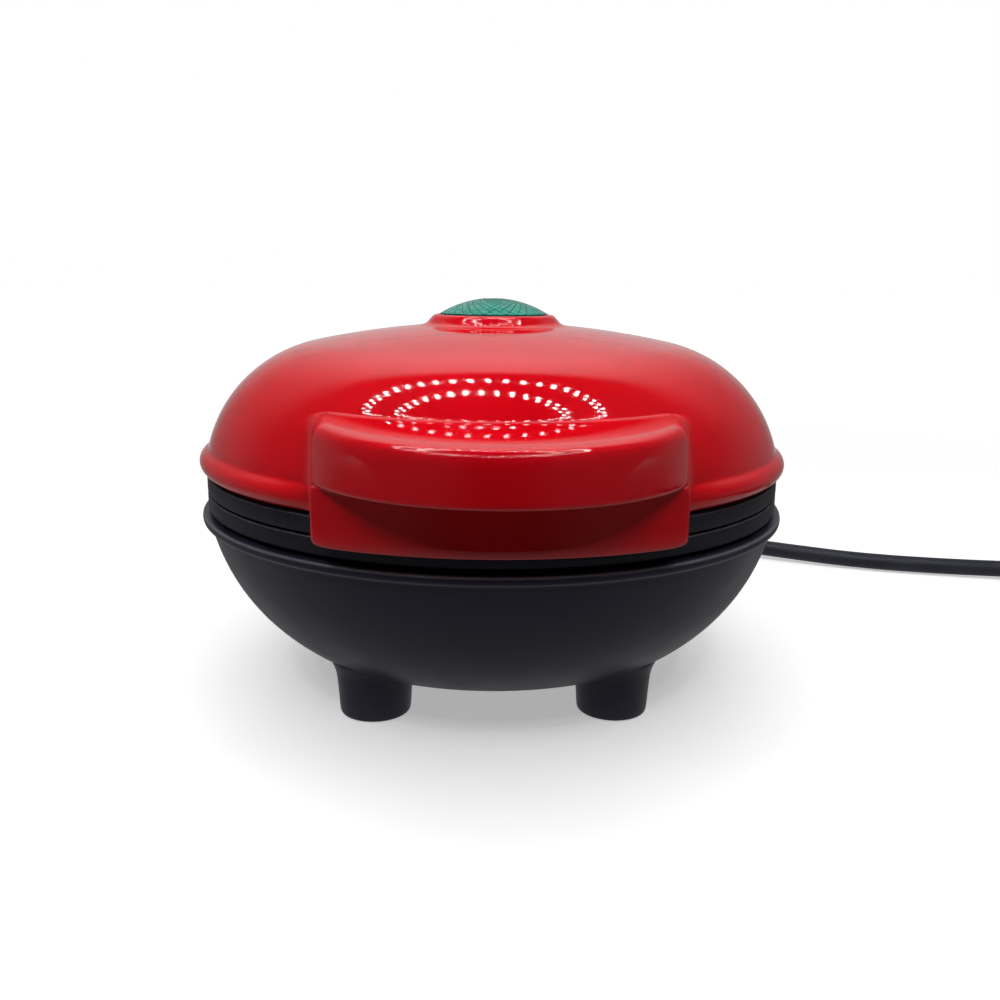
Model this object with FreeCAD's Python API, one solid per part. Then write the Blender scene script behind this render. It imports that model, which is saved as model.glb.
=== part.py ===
import FreeCAD, Part
import math
import os

os.makedirs("parts", exist_ok=True)

# Sizes are in millimetres. Heights are above the table, radii are from the body axis,
# the front with the handle is -Y and the hinge is at +Y.

# Die-cast plates with one ring channel each
plate_radius = 62.2
plate_lift = 0.8
plate_edge_height = 3.5
plate_edge_chamfer = 0.4
plate_land = 3.0
plate_gap = 0.3
land_width = 18.7
hub_radius = 14.5
ring_depth = 11.0
locating_skirt_height = 4.0
locating_skirt_wall = 2.0
locating_clearance = 0.5

# Bowl of the base
bowl_bottom = 10.8
bowl_height = 29.4
bowl_wall = 2.2
bowl_overhang = 0.8
bowl_draft = 10.6
bowl_floor_inset = 20.1
bowl_corner_radius = 6.0
rim_overhang = 1.5
rim_lip_height = 2.0
rim_edge_radius = 0.6

# Legs and their rubber pads
leg_x = 25.0
leg_y = 28.4
leg_top_radius = 8.5
leg_bottom_radius = 7.4
leg_edge_radius = 1.5
pad_radius = 5.2
pad_height = 2.0
pad_proud = 0.4
pad_clearance = 0.1

# Lid moulding
lid_height = 31.0
lid_wall = 2.2
lid_seat_gap = 0.3
crown_radius = 195.0
shoulder_radius = 29.9
skirt_draft = 16.4
bead_radius = 2.45
neck_angle = 80.0
collar_wall = 1.7
collar_height = 2.0
collar_fillet = 1.2
collar_edge_radius = 0.6

# Handle, moulded in one with the lid
handle_half_width = 31.5
handle_overhang = 11.0
handle_root = 40.0
handle_fillet = 1.5
lip_clearance = 6.8
lip_rear_height = 10.5
lip_front_height = 8.9
lip_sagitta = 20.0
lip_corner_radius = 4.0
lip_edge_radius = 2.0
apron_gap = 3.35
apron_wall = 2.2
apron_drop = 0.5
apron_corner_radius = 2.4
apron_root = 1.0

# Jewel lens, its lamp and their holder
lens_radius = 12.0
lens_clearance = 0.3
lens_rise = 3.4
lens_girdle = 0.5
lens_facets = 16
lens_row_tilts = (0.8, 0.5, 0.22)
lens_facet_tilt = 0.13
lens_flange_overlap = 2.2
lens_flange_height = 1.3
holder_overlap = 1.5
holder_wall = 1.2
holder_floor = 1.2
lamp_radius = 2.8
lamp_length = 14.0
lamp_end_radius = 1.7
seat_clearance = 0.2

# Tubular heating elements and heat shields
element_tube_radius = 3.25
element_gap_angle = 30.0
terminal_radius = 1.6
terminal_inset_angle = 4.0
terminal_end_gap = 2.0
shield_wall = 0.6
shield_clearance = 0.3
shield_gap = 1.2

# Screws of the plates
screw_count = 3
screw_radius = 1.5
screw_hole_clearance = 0.05
screw_through_clearance = 0.3
screw_head_radius = 3.0
screw_head_height = 1.8
head_clearance = 0.2
screw_bite = 8.0
screw_end_gap = 1.0
post_radius = 4.2
upper_boss_height = 2.2

# Hinge
hinge_standoff = 7.8
hinge_drop = 1.0
knuckle_radius = 5.0
lid_knuckle_half_length = 13.5
knuckle_gap = 0.5
bracket_height = 9.8
bracket_low_angle = 160.0
bracket_high_angle = 55.0
ear_width = 7.0
ear_root_depth = 6.6
ear_drop = 10.0
ear_low_angle = -50.0
ear_high_angle = 130.0
pin_radius = 1.75
pin_clearance = 0.05
pin_head_radius = 2.8
pin_head_height = 1.0

# Parts on the floor of the bowl
thermostat_radius = 8.0
thermostat_height = 5.0
tab_width = 4.0
tab_thickness = 0.8
tab_length = 6.0
fuse_radius = 2.0
fuse_length = 11.0
fuse_lead_radius = 0.5
fuse_lead_length = 5.5
fuse_y = -34.0
block_length = 22.0
block_depth = 10.0
block_height = 7.0
block_gap = 1.0
wire_radius = 1.1
wire_gap = 1.1
wire_spacing = 15.0

# Cord, strain relief and plug
cord_diameter = 5.0
cord_boss_inset = 2.0
cord_boss_root = 36.0
relief_flange_radius = 6.1
relief_flange_height = 1.6
relief_neck_radius = 4.4
relief_tip_radius = 3.3
relief_length = 20.0
relief_clearance = 0.2
relief_inner_length = 12.0
coil_level = 3.3
coil_radius = 31.0
coil_pitch = 5.6
coil_turns_in = 1.75
coil_climb_turns = 0.5
coil_tail_length = 22.0
tie_width = 6.0
tie_thickness = 0.5
tie_clearance = 0.5
plug_width = 24.0
plug_thickness = 17.0
plug_length = 30.0
plug_neck_width = 10.0
plug_neck_length = 12.0
plug_corner = 4.0
blade_spacing = 12.7
blade_width = 6.35
blade_thickness = 1.5
blade_length = 17.5
blade_depth = 6.0
blade_clearance = 0.1

# Heights worked out from the sizes above
bowl_floor = bowl_bottom + bowl_wall
rim_top = bowl_bottom + bowl_height
rim_under = rim_top - rim_lip_height
lower_land = rim_top + plate_lift + plate_edge_height
upper_land = lower_land + plate_gap
upper_boss_top = upper_land + plate_land + upper_boss_height
lid_rim = upper_land + plate_edge_height + lid_seat_gap
lid_crown = lid_rim + lid_height
lip_bottom = lid_rim + lip_clearance
apron_bottom = lower_land - apron_drop
hinge_z = lower_land - hinge_drop
screw_seat = bowl_floor + screw_head_height
element_drop = ring_depth + plate_land + seat_clearance + element_tube_radius
lower_shield_top = lower_land - element_drop - element_tube_radius - shield_gap
upper_shield_under = upper_land + element_drop + element_tube_radius + shield_gap
exit_height = lower_shield_top - shield_wall - relief_neck_radius - shield_clearance

# Radii and depths worked out from the sizes above
bowl_top_radius = plate_radius + bowl_overhang
rim_radius = bowl_top_radius + rim_overhang
bowl_slope = math.radians(bowl_draft)
bowl_wall_rise = rim_under - bowl_bottom - bowl_corner_radius
bowl_curve_radius = (
    (bowl_floor_inset ** 2 + bowl_wall_rise ** 2 - bowl_corner_radius ** 2) / 2
    / (bowl_floor_inset * math.cos(bowl_slope) - bowl_wall_rise * math.sin(bowl_slope) - bowl_corner_radius)
)
ring_half_width = (plate_radius - land_width - hub_radius) / 2
ring_radius = hub_radius + ring_half_width
channel_ball = (ring_half_width ** 2 + ring_depth ** 2) / (2 * ring_depth)
channel_rise = channel_ball - ring_depth
back_ball = channel_ball + plate_land
back_half_width = math.sqrt(back_ball ** 2 - (channel_rise + plate_land) ** 2)
shield_inner = ring_radius + back_half_width + shield_clearance
shield_outer = shield_inner + shield_wall
bead_centre = (plate_radius, lid_rim + bead_radius)
crown_centre = (0.0, lid_crown - crown_radius)
apron_radius = plate_radius + bead_radius + apron_gap
handle_front = apron_radius + handle_overhang
hinge_y = plate_radius + hinge_standoff
lens_hole_radius = lens_radius + lens_clearance
lens_flange_radius = lens_hole_radius + lens_flange_overlap
holder_radius = lens_radius + holder_overlap
collar_radius = lens_hole_radius + collar_wall
collar_top = lid_crown + collar_height - 0.5 * collar_radius ** 2 / crown_radius
lens_base = collar_top + lens_girdle
lens_top = lens_base + lens_rise
screw_hole_radius = screw_radius + screw_hole_clearance
screw_through_radius = screw_radius + screw_through_clearance
lower_screw_circle = (thermostat_radius + ring_radius - element_tube_radius) / 2
terminal_angle = element_gap_angle / 2 + terminal_inset_angle
block_front = ring_radius * math.cos(math.radians(terminal_angle)) + terminal_radius + block_gap
cord_boss_end = bowl_top_radius - cord_boss_inset
cord_boss_radius = relief_flange_radius + relief_clearance
relief_end = cord_boss_end + relief_flange_height + relief_length
cord_radius = cord_diameter / 2

# The frame's origin is under the middle of the object without its cord.
axis_offset = (handle_front - hinge_y - knuckle_radius) / 2

# Route of the loose cord after the strain relief, in the object's frame
floor_level = 2.8
cord_route = [
    (0.0, relief_end + axis_offset, exit_height),
    (0.0, 100.0, exit_height),
    (5.0, 116.0, 13.5),
    (17.5, 127.5, 7.6),
    (37.0, 130.0, floor_level),
    (57.0, 119.0, floor_level),
    (76.0, 102.0, floor_level),
    (97.0, 89.0, floor_level),
    (120.5, 80.0, floor_level),
    (145.0, 72.5, floor_level),
    (169.5, 63.0, coil_level),
    (193.0, 51.5, coil_level),
]
cord_bend_share = 0.45

# Edges and points closer than this count as the same place.
tiny = 0.01


def vec(x, y, z):
    return FreeCAD.Vector(x, y, z)


x_axis = vec(1, 0, 0)
y_axis = vec(0, 1, 0)
z_axis = vec(0, 0, 1)


def polar(centre, radius, angle):
    turn = math.radians(angle)
    return (centre[0] + radius * math.cos(turn), centre[1] + radius * math.sin(turn))


# Outlines in the radius and height plane
def line(a, b):
    return Part.LineSegment(vec(a[0], 0, a[1]), vec(b[0], 0, b[1])).toShape()


def lines(points):
    return [line(a, b) for a, b in zip(points, points[1:])]


def arc(centre, radius, start, end):
    ends = [polar(centre, radius, angle) for angle in (start, (start + end) / 2, end)]
    return Part.Arc(*[vec(r, 0, z) for r, z in ends]).toShape()


def revolved(edges, angle=360.0):
    face = Part.Face(Part.Wire(edges))
    return face.revolve(vec(0, 0, 0), z_axis, angle)


def cylinder(radius, height, place, direction=z_axis):
    return Part.makeCylinder(radius, height, place, direction)


def prism(points, direction):
    wire = Part.makePolygon([vec(*p) for p in points + points[:1]])
    return Part.Face(wire).extrude(direction)


def around(count, radius, start):
    # Places on a circle about the body axis
    places = [polar((0, 0), radius, start + 360.0 * n / count) for n in range(count)]
    return [vec(x, y, 0) for x, y in places]


def fused(shapes):
    whole = shapes[0].fuse(shapes[1:])
    return whole.removeSplitter()


def export(name, shape):
    shape.translate(vec(0, axis_offset, 0))
    shape.exportStep("parts/" + name + ".step")


# Lid outline: a crown and a shoulder arc that run tangent into a drafted skirt
def lid_arcs():
    draft = math.radians(skirt_draft)
    along = (-math.sin(draft), math.cos(draft))
    neck = polar(bead_centre, bead_radius, neck_angle)
    foot = polar(neck, -shoulder_radius, skirt_draft)
    reach = crown_radius - shoulder_radius
    off = (foot[0] - crown_centre[0], foot[1] - crown_centre[1])
    b = off[0] * along[0] + off[1] * along[1]
    c = off[0] ** 2 + off[1] ** 2 - reach ** 2
    t = -b + math.sqrt(b * b - c)
    shoulder = (foot[0] + t * along[0], foot[1] + t * along[1])
    crown_angle = math.degrees(math.atan2(shoulder[1] - crown_centre[1], shoulder[0]))
    return neck, shoulder, crown_angle


neck_point, shoulder_centre, crown_end_angle = lid_arcs()
lid_inner = polar(shoulder_centre, shoulder_radius - lid_wall, skirt_draft)


def crown_height(radius, depth):
    return crown_centre[1] + math.sqrt((crown_radius - depth) ** 2 - radius ** 2)


# Places that follow from the outline of the lid
skirt_out = min(lid_inner[0], bowl_top_radius - bowl_wall) - locating_clearance
skirt_in = skirt_out - locating_skirt_wall
upper_screw_circle = (shield_outer + skirt_in) / 2
lens_flange_top = crown_height(lens_flange_radius, lid_wall) - seat_clearance
lens_foot = lens_flange_top - lens_flange_height
holder_top = lens_foot - seat_clearance
holder_bottom = upper_shield_under + shield_wall + seat_clearance


def lid_shell():
    fillet_r = collar_radius + collar_fillet
    fillet_z = crown_height(fillet_r, -collar_fillet)
    fillet_angle = math.degrees(math.atan2(fillet_z - crown_centre[1], fillet_r))
    skirt_top = polar(shoulder_centre, shoulder_radius, skirt_draft)
    edge = (collar_radius - collar_edge_radius, collar_top - collar_edge_radius)
    inner_radius = crown_radius - lid_wall
    hole_angle = math.degrees(math.acos(lens_hole_radius / inner_radius))
    hole_foot = polar(crown_centre, inner_radius, hole_angle)
    rim_in = (lid_inner[0], lid_rim)
    edges = [
        line(hole_foot, (lens_hole_radius, collar_top)),
        line((lens_hole_radius, collar_top), (edge[0], collar_top)),
        arc(edge, collar_edge_radius, 90, 0),
        line((collar_radius, edge[1]), (collar_radius, fillet_z)),
        arc((fillet_r, fillet_z), collar_fillet, 180, 180 + fillet_angle),
        arc(crown_centre, crown_radius, fillet_angle, crown_end_angle),
        arc(shoulder_centre, shoulder_radius, crown_end_angle, skirt_draft),
        line(skirt_top, neck_point),
        arc(bead_centre, bead_radius, neck_angle, -90),
        line((bead_centre[0], lid_rim), rim_in),
        line(rim_in, lid_inner),
        arc(shoulder_centre, shoulder_radius - lid_wall, skirt_draft, crown_end_angle),
        arc(crown_centre, inner_radius, crown_end_angle, hole_angle),
    ]
    return revolved(edges)


def lid_solid(depth):
    # Whole inside of the lid, set in from the outer face by depth
    crown = crown_radius - depth
    side = polar(shoulder_centre, shoulder_radius - depth, skirt_draft)
    top = (0.0, crown_centre[1] + crown)
    edges = [
        arc(crown_centre, crown, 90, crown_end_angle),
        arc(shoulder_centre, shoulder_radius - depth, crown_end_angle, skirt_draft),
    ]
    edges += lines([side, (side[0], lid_rim), (0.0, lid_rim), top])
    return revolved(edges)


def lip_block(inset):
    # Outer form of the handle's lip, or with an inset the hollow inside its walls
    wide = handle_half_width - inset
    tip = handle_front - inset
    corner = -(handle_front - lip_sagitta)
    low = lip_bottom + inset
    rear = lip_bottom + lip_rear_height - inset
    front = lip_bottom + lip_front_height - inset
    left = vec(-wide, corner, low)
    right = vec(wide, corner, low)
    nose = Part.Arc(left, vec(0, -tip, low), right).toShape()
    back = [right, vec(wide, -handle_root, low), vec(-wide, -handle_root, low), left]
    plan = Part.Face(Part.Wire([nose] + Part.makePolygon(back).Edges))
    block = plan.extrude(vec(0, 0, rear - low))
    side = [
        (-wide, -handle_root, low),
        (-wide, -handle_root, rear),
        (-wide, -handle_front, front),
        (-wide, -handle_front, low),
    ]
    block = block.common(prism(side, vec(2 * wide, 0, 0)))
    upright = [
        e for e in block.Edges
        if e.BoundBox.XLength < tiny
        and abs(e.BoundBox.YMin - corner) < tiny
        and abs(e.BoundBox.YMax - corner) < tiny
    ]
    return block.makeFillet(lip_corner_radius - inset, upright)


def handle_lip():
    block = lip_block(0.0)
    level = lip_bottom + lip_front_height / 2
    top = [
        e for e in block.Edges
        if e.BoundBox.ZMin > level and e.BoundBox.YMin < -handle_root - lip_edge_radius
    ]
    return block.makeFillet(lip_edge_radius, top)


def apron():
    wide = handle_half_width
    top = lip_bottom + lip_edge_radius
    root = plate_radius + apron_root
    section = [
        (root, top),
        (apron_radius, top),
        (apron_radius, apron_bottom),
        (apron_radius - apron_wall, apron_bottom),
        (apron_radius - apron_wall, lid_rim + apron_wall),
        (root, lid_rim + apron_wall),
    ]
    ring = revolved(lines(section + section[:1]), 180.0)
    ring.rotate(vec(0, 0, 0), z_axis, 180.0)
    corner = vec(-wide, -apron_radius, apron_bottom)
    outline = Part.makeBox(2 * wide, apron_radius, top - apron_bottom, corner)
    low = [
        e for e in outline.Edges
        if abs(e.BoundBox.ZMax - apron_bottom) < tiny and e.BoundBox.XLength < tiny
    ]
    return ring.common(outline.makeFillet(apron_corner_radius, low))


def knuckle(half_length):
    place = vec(-half_length, hinge_y, hinge_z)
    return cylinder(knuckle_radius, 2 * half_length, place, x_axis)


def hinge_bore():
    length = 4 * (lid_knuckle_half_length + ear_width)
    return cylinder(pin_radius + pin_clearance, length, vec(-length / 2, hinge_y, hinge_z), x_axis)


def lid_bracket():
    half = lid_knuckle_half_length
    low = polar((hinge_y, hinge_z), knuckle_radius, bracket_low_angle)
    high = polar((hinge_y, hinge_z), knuckle_radius, bracket_high_angle)
    web = [
        (-half, lid_inner[0], lid_rim + bead_radius),
        (-half, lid_inner[0], lid_rim + bracket_height),
        (-half, high[0], high[1]),
        (-half, low[0], low[1]),
    ]
    return fused([prism(web, vec(2 * half, 0, 0)), knuckle(half)])


def handle_seams(moulding):
    # Edges above the lip's underside where the handle runs into the dome
    dome = lid_solid(0.0).Shells[0]
    seams = []
    for edge in moulding.Edges:
        ends = (edge.FirstParameter, edge.LastParameter)
        points = [edge.valueAt(t) for t in ends + (sum(ends) / 2,)]
        handle = max(p.y for p in points) < -handle_root and min(p.z for p in points) > lip_bottom - tiny
        level = edge.BoundBox.ZLength < tiny
        if handle and not level and all(dome.distToShape(Part.Vertex(p))[0] < tiny for p in points):
            seams.append(edge)
    return seams


def upper_housing():
    moulding = fused([lid_shell(), handle_lip(), apron(), lid_bracket()])
    moulding = moulding.makeFillet(handle_fillet, handle_seams(moulding))
    moulding = moulding.cut(lid_solid(lid_wall)).cut(lip_block(lid_wall))
    bottom = upper_boss_top
    posts = []
    for place in around(screw_count, upper_screw_circle, 90):
        posts.append(cylinder(post_radius, lid_crown - bottom, place + vec(0, 0, bottom)))
    moulding = fused([moulding] + [p.common(lid_solid(lid_wall / 2)) for p in posts])
    for place in around(screw_count, upper_screw_circle, 90):
        moulding = moulding.cut(cylinder(screw_hole_radius, screw_bite, place + vec(0, 0, bottom)))
    return moulding.cut(hinge_bore())


# Ring plates: the upper plate is the lower one turned over about the split
def plate_outline():
    # Heights are measured from the land, the face that meets the other plate
    skirt_end = -plate_edge_height - locating_skirt_height
    outside = ring_radius + back_half_width
    inside = ring_radius - back_half_width
    start = math.degrees(math.atan2(-channel_rise - plate_land, back_half_width))
    edges = lines([
        (0, 0),
        (plate_radius - plate_edge_chamfer, 0),
        (plate_radius, -plate_edge_chamfer),
        (plate_radius, -plate_edge_height),
        (skirt_out, -plate_edge_height),
        (skirt_out, skirt_end),
        (skirt_in, skirt_end),
        (skirt_in, -plate_land),
        (outside, -plate_land),
    ])
    edges.append(arc((ring_radius, channel_rise), back_ball, start, -180 - start))
    edges += lines([(inside, -plate_land), (0, -plate_land), (0, 0)])
    return edges


def channel():
    # Ring that the batter fills
    inside = ring_radius - ring_half_width
    outside = ring_radius + ring_half_width
    start = math.degrees(math.atan2(-channel_rise, ring_half_width))
    bottom = arc((ring_radius, channel_rise), channel_ball, -180 - start, start)
    return revolved([bottom, line((outside, 0), (inside, 0))])


def lower_plate():
    plate = revolved(plate_outline())
    height = lower_land - lower_shield_top
    holes = []
    for place in around(screw_count, lower_screw_circle, -90):
        foot = place - vec(0, 0, height)
        plate = plate.fuse(cylinder(post_radius, height - plate_land, foot))
        holes.append(cylinder(screw_hole_radius, screw_bite, foot))
    plate = plate.removeSplitter().cut(channel())
    for hole in holes:
        plate = plate.cut(hole)
    plate.translate(vec(0, 0, lower_land))
    return plate


def upper_plate():
    plate = revolved(plate_outline()).cut(channel())
    plate.rotate(vec(0, 0, 0), x_axis, 180)
    plate.translate(vec(0, 0, upper_land))
    for place in around(screw_count, upper_screw_circle, 90):
        foot = place + vec(0, 0, upper_land)
        boss = cylinder(post_radius, plate_land + upper_boss_height, foot)
        head = cylinder(screw_head_radius + head_clearance, screw_head_height, foot)
        hole = cylinder(screw_through_radius, plate_land + upper_boss_height, foot)
        plate = plate.fuse(boss).cut(head).cut(hole)
    return plate.removeSplitter()


def terminal_places():
    angles = [90 + side * terminal_angle for side in (-1, 1)]
    return [vec(*polar((0, 0), ring_radius, angle), 0) for angle in angles]


def element(height, terminal_end):
    # Ring-shaped sheathed heater, open at the back, with a terminal at each end
    sweep = 360 - element_gap_angle
    tube = Part.makeTorus(ring_radius, element_tube_radius, vec(0, 0, 0), z_axis, 0, 360, sweep)
    tube.rotate(vec(0, 0, 0), z_axis, 90 + element_gap_angle / 2)
    tube.translate(vec(0, 0, height))
    way = z_axis if terminal_end > height else -z_axis
    length = abs(terminal_end - height)
    terminals = [
        cylinder(terminal_radius, length, place + vec(0, 0, height), way) for place in terminal_places()
    ]
    return fused([tube] + terminals)


def lower_element():
    return element(lower_land - element_drop, bowl_floor + terminal_end_gap)


def upper_element():
    return element(upper_land + element_drop, crown_height(ring_radius, lid_wall) - terminal_end_gap)


def shield(flat, seat):
    # Sheet pan: a flat floor and a skirt that stands on the back of the plate
    step = shield_wall if seat > flat else -shield_wall
    points = [
        (0, flat),
        (shield_outer, flat),
        (shield_outer, seat),
        (shield_inner, seat),
        (shield_inner, flat + step),
        (0, flat + step),
    ]
    return revolved(lines(points + points[:1]))


def lower_shield():
    pan = shield(lower_shield_top - shield_wall, lower_land - plate_land)
    for place in around(screw_count, lower_screw_circle, -90):
        pan = pan.cut(cylinder(screw_through_radius, lower_land, place))
    for place in terminal_places():
        pan = pan.cut(cylinder(terminal_radius + shield_clearance, lower_land, place))
    return pan


def upper_shield():
    pan = shield(upper_shield_under + shield_wall, upper_land + plate_land)
    for place in terminal_places():
        pan = pan.cut(cylinder(terminal_radius + shield_clearance, lid_crown, place))
    return pan


# Base moulding: a bowl with a lip, four legs, two hinge ears and a boss for the cord
def bowl_outline(depth, top):
    centre = (
        bowl_top_radius - bowl_curve_radius * math.cos(bowl_slope),
        rim_under + bowl_curve_radius * math.sin(bowl_slope),
    )
    corner_z = bowl_bottom + bowl_corner_radius
    corner_r = bowl_top_radius - bowl_floor_inset
    turn = math.degrees(math.atan2(corner_z - centre[1], corner_r - centre[0]))
    curve = bowl_curve_radius - depth
    corner = bowl_corner_radius - depth
    side = polar(centre, curve, -bowl_draft)
    edges = [
        line((0, corner_z - corner), (corner_r, corner_z - corner)),
        arc((corner_r, corner_z), corner, -90, turn),
        arc(centre, curve, turn, -bowl_draft),
    ]
    edges += lines([side, (side[0], top), (0, top), (0, corner_z - corner)])
    return edges


def legs():
    shapes = []
    height = bowl_floor + bowl_corner_radius - pad_proud
    for sx in (-1, 1):
        for sy in (-1, 1):
            place = vec(sx * leg_x, sy * leg_y, pad_proud)
            leg = Part.makeCone(leg_bottom_radius, leg_top_radius, height, place)
            low = [e for e in leg.Edges if e.BoundBox.ZMax < pad_proud + tiny]
            shapes.append(leg.makeFillet(leg_edge_radius, low))
    return shapes


def pad_recess(clearance):
    recesses = []
    for sx in (-1, 1):
        for sy in (-1, 1):
            place = vec(sx * leg_x, sy * leg_y, 0)
            recesses.append(cylinder(pad_radius + clearance, pad_height + clearance, place))
    return recesses


def ears():
    shapes = []
    inner = lid_knuckle_half_length + knuckle_gap
    low = polar((hinge_y, hinge_z), knuckle_radius, ear_low_angle)
    high = polar((hinge_y, hinge_z), knuckle_radius, ear_high_angle)
    for side in (-1, 1):
        x = side * inner - (ear_width if side < 0 else 0)
        web = [
            (x, bowl_top_radius, rim_top),
            (x, high[0], high[1]),
            (x, low[0], low[1]),
            (x, bowl_top_radius - ear_root_depth, rim_under - ear_drop),
        ]
        shapes.append(prism(web, vec(ear_width, 0, 0)))
        shapes.append(cylinder(knuckle_radius, ear_width, vec(x, hinge_y, hinge_z), x_axis))
    return shapes


def lower_housing():
    lip = rim_radius - rim_edge_radius
    rim_inner = bowl_top_radius - bowl_wall
    rim = lines([(rim_inner, rim_under), (lip, rim_under)])
    rim.append(arc((lip, rim_under + rim_edge_radius), rim_edge_radius, -90, 0))
    rim.append(line((rim_radius, rim_under + rim_edge_radius), (rim_radius, rim_top - rim_edge_radius)))
    rim.append(arc((lip, rim_top - rim_edge_radius), rim_edge_radius, 0, 90))
    rim += lines([(lip, rim_top), (rim_inner, rim_top), (rim_inner, rim_under)])
    boss_root = vec(0, cord_boss_root, exit_height)
    boss_length = cord_boss_end - cord_boss_root
    boss = cylinder(cord_boss_radius, boss_length, boss_root, y_axis)
    whole = fused([revolved(bowl_outline(0, rim_top)), revolved(rim), boss] + legs() + ears())
    whole = whole.cut(revolved(bowl_outline(bowl_wall, rim_top + plate_lift)))
    post_top = lower_shield_top - shield_wall
    places = around(screw_count, lower_screw_circle, -90)
    whole = fused([whole] + [
        cylinder(post_radius, post_top - bowl_bottom, p + vec(0, 0, bowl_bottom)) for p in places
    ])
    for place in places:
        whole = whole.cut(cylinder(screw_through_radius, post_top, place))
        whole = whole.cut(cylinder(screw_head_radius + head_clearance, screw_seat, place))
    for recess in pad_recess(pad_clearance):
        whole = whole.cut(recess)
    bore = cylinder(relief_neck_radius + relief_clearance, boss_length, boss_root, y_axis)
    return whole.cut(bore).cut(hinge_bore())


# Screws: a pan head and a plain shank
def screw(head_face, shank_end, place):
    direction = 1 if shank_end > head_face else -1
    up = z_axis * direction
    head = cylinder(screw_head_radius, screw_head_height, place + vec(0, 0, head_face), up)
    shank = cylinder(screw_radius, abs(shank_end - head_face), place + vec(0, 0, head_face), up)
    return head.fuse(shank).removeSplitter()


def lower_screws():
    end = lower_shield_top + screw_bite - screw_end_gap
    places = around(screw_count, lower_screw_circle, -90)
    return Part.makeCompound([screw(screw_seat - screw_head_height, end, p) for p in places])


def upper_screws():
    end = upper_boss_top + screw_bite - screw_end_gap
    places = around(screw_count, upper_screw_circle, 90)
    return Part.makeCompound([screw(upper_land, end, p) for p in places])


# Faceted lens: a low dome cut by staggered rings of flats, on a stem with a flange
def indicator_lens():
    ball = (lens_radius ** 2 + lens_rise ** 2) / (2 * lens_rise)
    centre_z = lens_top - ball
    cap = Part.makeSphere(ball, vec(0, 0, centre_z))
    cap = cap.common(cylinder(lens_radius, lens_rise, vec(0, 0, lens_base)))
    edge_tilt = math.degrees(math.asin(lens_radius / ball))
    facet_depth = ball * math.cos(math.radians(edge_tilt * lens_facet_tilt))
    for row, share in enumerate(lens_row_tilts):
        tilt = math.radians(edge_tilt * share)
        count = lens_facets if row < 2 else lens_facets // 2
        for n in range(count):
            turn = math.radians(360.0 / count * (n + 0.5 * (row % 2)))
            normal = vec(
                math.sin(tilt) * math.cos(turn), math.sin(tilt) * math.sin(turn), math.cos(tilt)
            )
            foot = vec(0, 0, centre_z) + normal * facet_depth
            cap = cap.cut(cylinder(2 * lens_radius, lens_rise, foot, normal))
    stem = cylinder(lens_radius, lens_base - lens_foot, vec(0, 0, lens_foot))
    flange = cylinder(lens_flange_radius, lens_flange_height, vec(0, 0, lens_foot))
    return fused([cap, stem, flange])


def lamp_holder():
    height = holder_top - holder_bottom
    cup = cylinder(holder_radius, height, vec(0, 0, holder_bottom))
    return cup.cut(cylinder(holder_radius - holder_wall, height, vec(0, 0, holder_bottom + holder_floor)))


def neon_lamp():
    height = holder_bottom + holder_floor + seat_clearance + lamp_radius
    tube = cylinder(lamp_radius, lamp_length, vec(-lamp_length / 2, 0, height), x_axis)
    return tube.makeFillet(lamp_end_radius, [e for e in tube.Edges if e.BoundBox.XLength < tiny])


def hinge_pin():
    reach = lid_knuckle_half_length + knuckle_gap + ear_width
    shank = cylinder(pin_radius, 2 * reach, vec(-reach, hinge_y, hinge_z), x_axis)
    heads = []
    for side in (-1, 1):
        out = x_axis * side
        neck = vec(side * reach, hinge_y, hinge_z)
        heads.append(cylinder(pin_radius, seat_clearance, neck, out))
        heads.append(cylinder(pin_head_radius, pin_head_height, neck + out * seat_clearance, out))
    return fused([shank] + heads)


# Small electrical parts under the lower plate
def thermostat():
    top = lower_land - plate_land - seat_clearance
    can = cylinder(thermostat_radius, thermostat_height, vec(0, 0, top - thermostat_height))
    pieces = [can]
    for side in (-1, 1):
        place = vec(
            side * thermostat_radius / 2 - tab_thickness / 2,
            -tab_width / 2,
            top - thermostat_height - tab_length,
        )
        pieces.append(Part.makeBox(tab_thickness, tab_width, tab_length, place))
    return fused(pieces)


def thermal_fuse():
    height = bowl_floor + seat_clearance + fuse_radius
    body = cylinder(fuse_radius, fuse_length, vec(-fuse_length / 2, fuse_y, height), x_axis)
    reach = fuse_length / 2 + fuse_lead_length
    lead = cylinder(fuse_lead_radius, 2 * reach, vec(-reach, fuse_y, height), x_axis)
    return fused([body, lead])


def terminal_block():
    place = vec(-block_length / 2, block_front, bowl_floor)
    block = Part.makeBox(block_length, block_depth, block_height, place)
    for side in (-1, 1):
        well = vec(side * wire_spacing / 2, block_front + block_depth / 2, bowl_floor + block_height / 2)
        block = block.cut(cylinder(screw_radius, block_height, well))
    return block


def lead_wires():
    height = bowl_floor + block_height / 2
    back = block_front + block_depth + seat_clearance
    inner_end = cord_boss_end - relief_inner_length - wire_gap
    wires = []
    for side in (-1, 1):
        start = vec(side * (wire_radius + wire_gap / 2), inner_end, exit_height)
        end = vec(side * wire_spacing / 2, back, height)
        wires.append(cylinder(wire_radius, (end - start).Length - wire_radius, start, end - start))
    return Part.makeCompound(wires)


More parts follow.
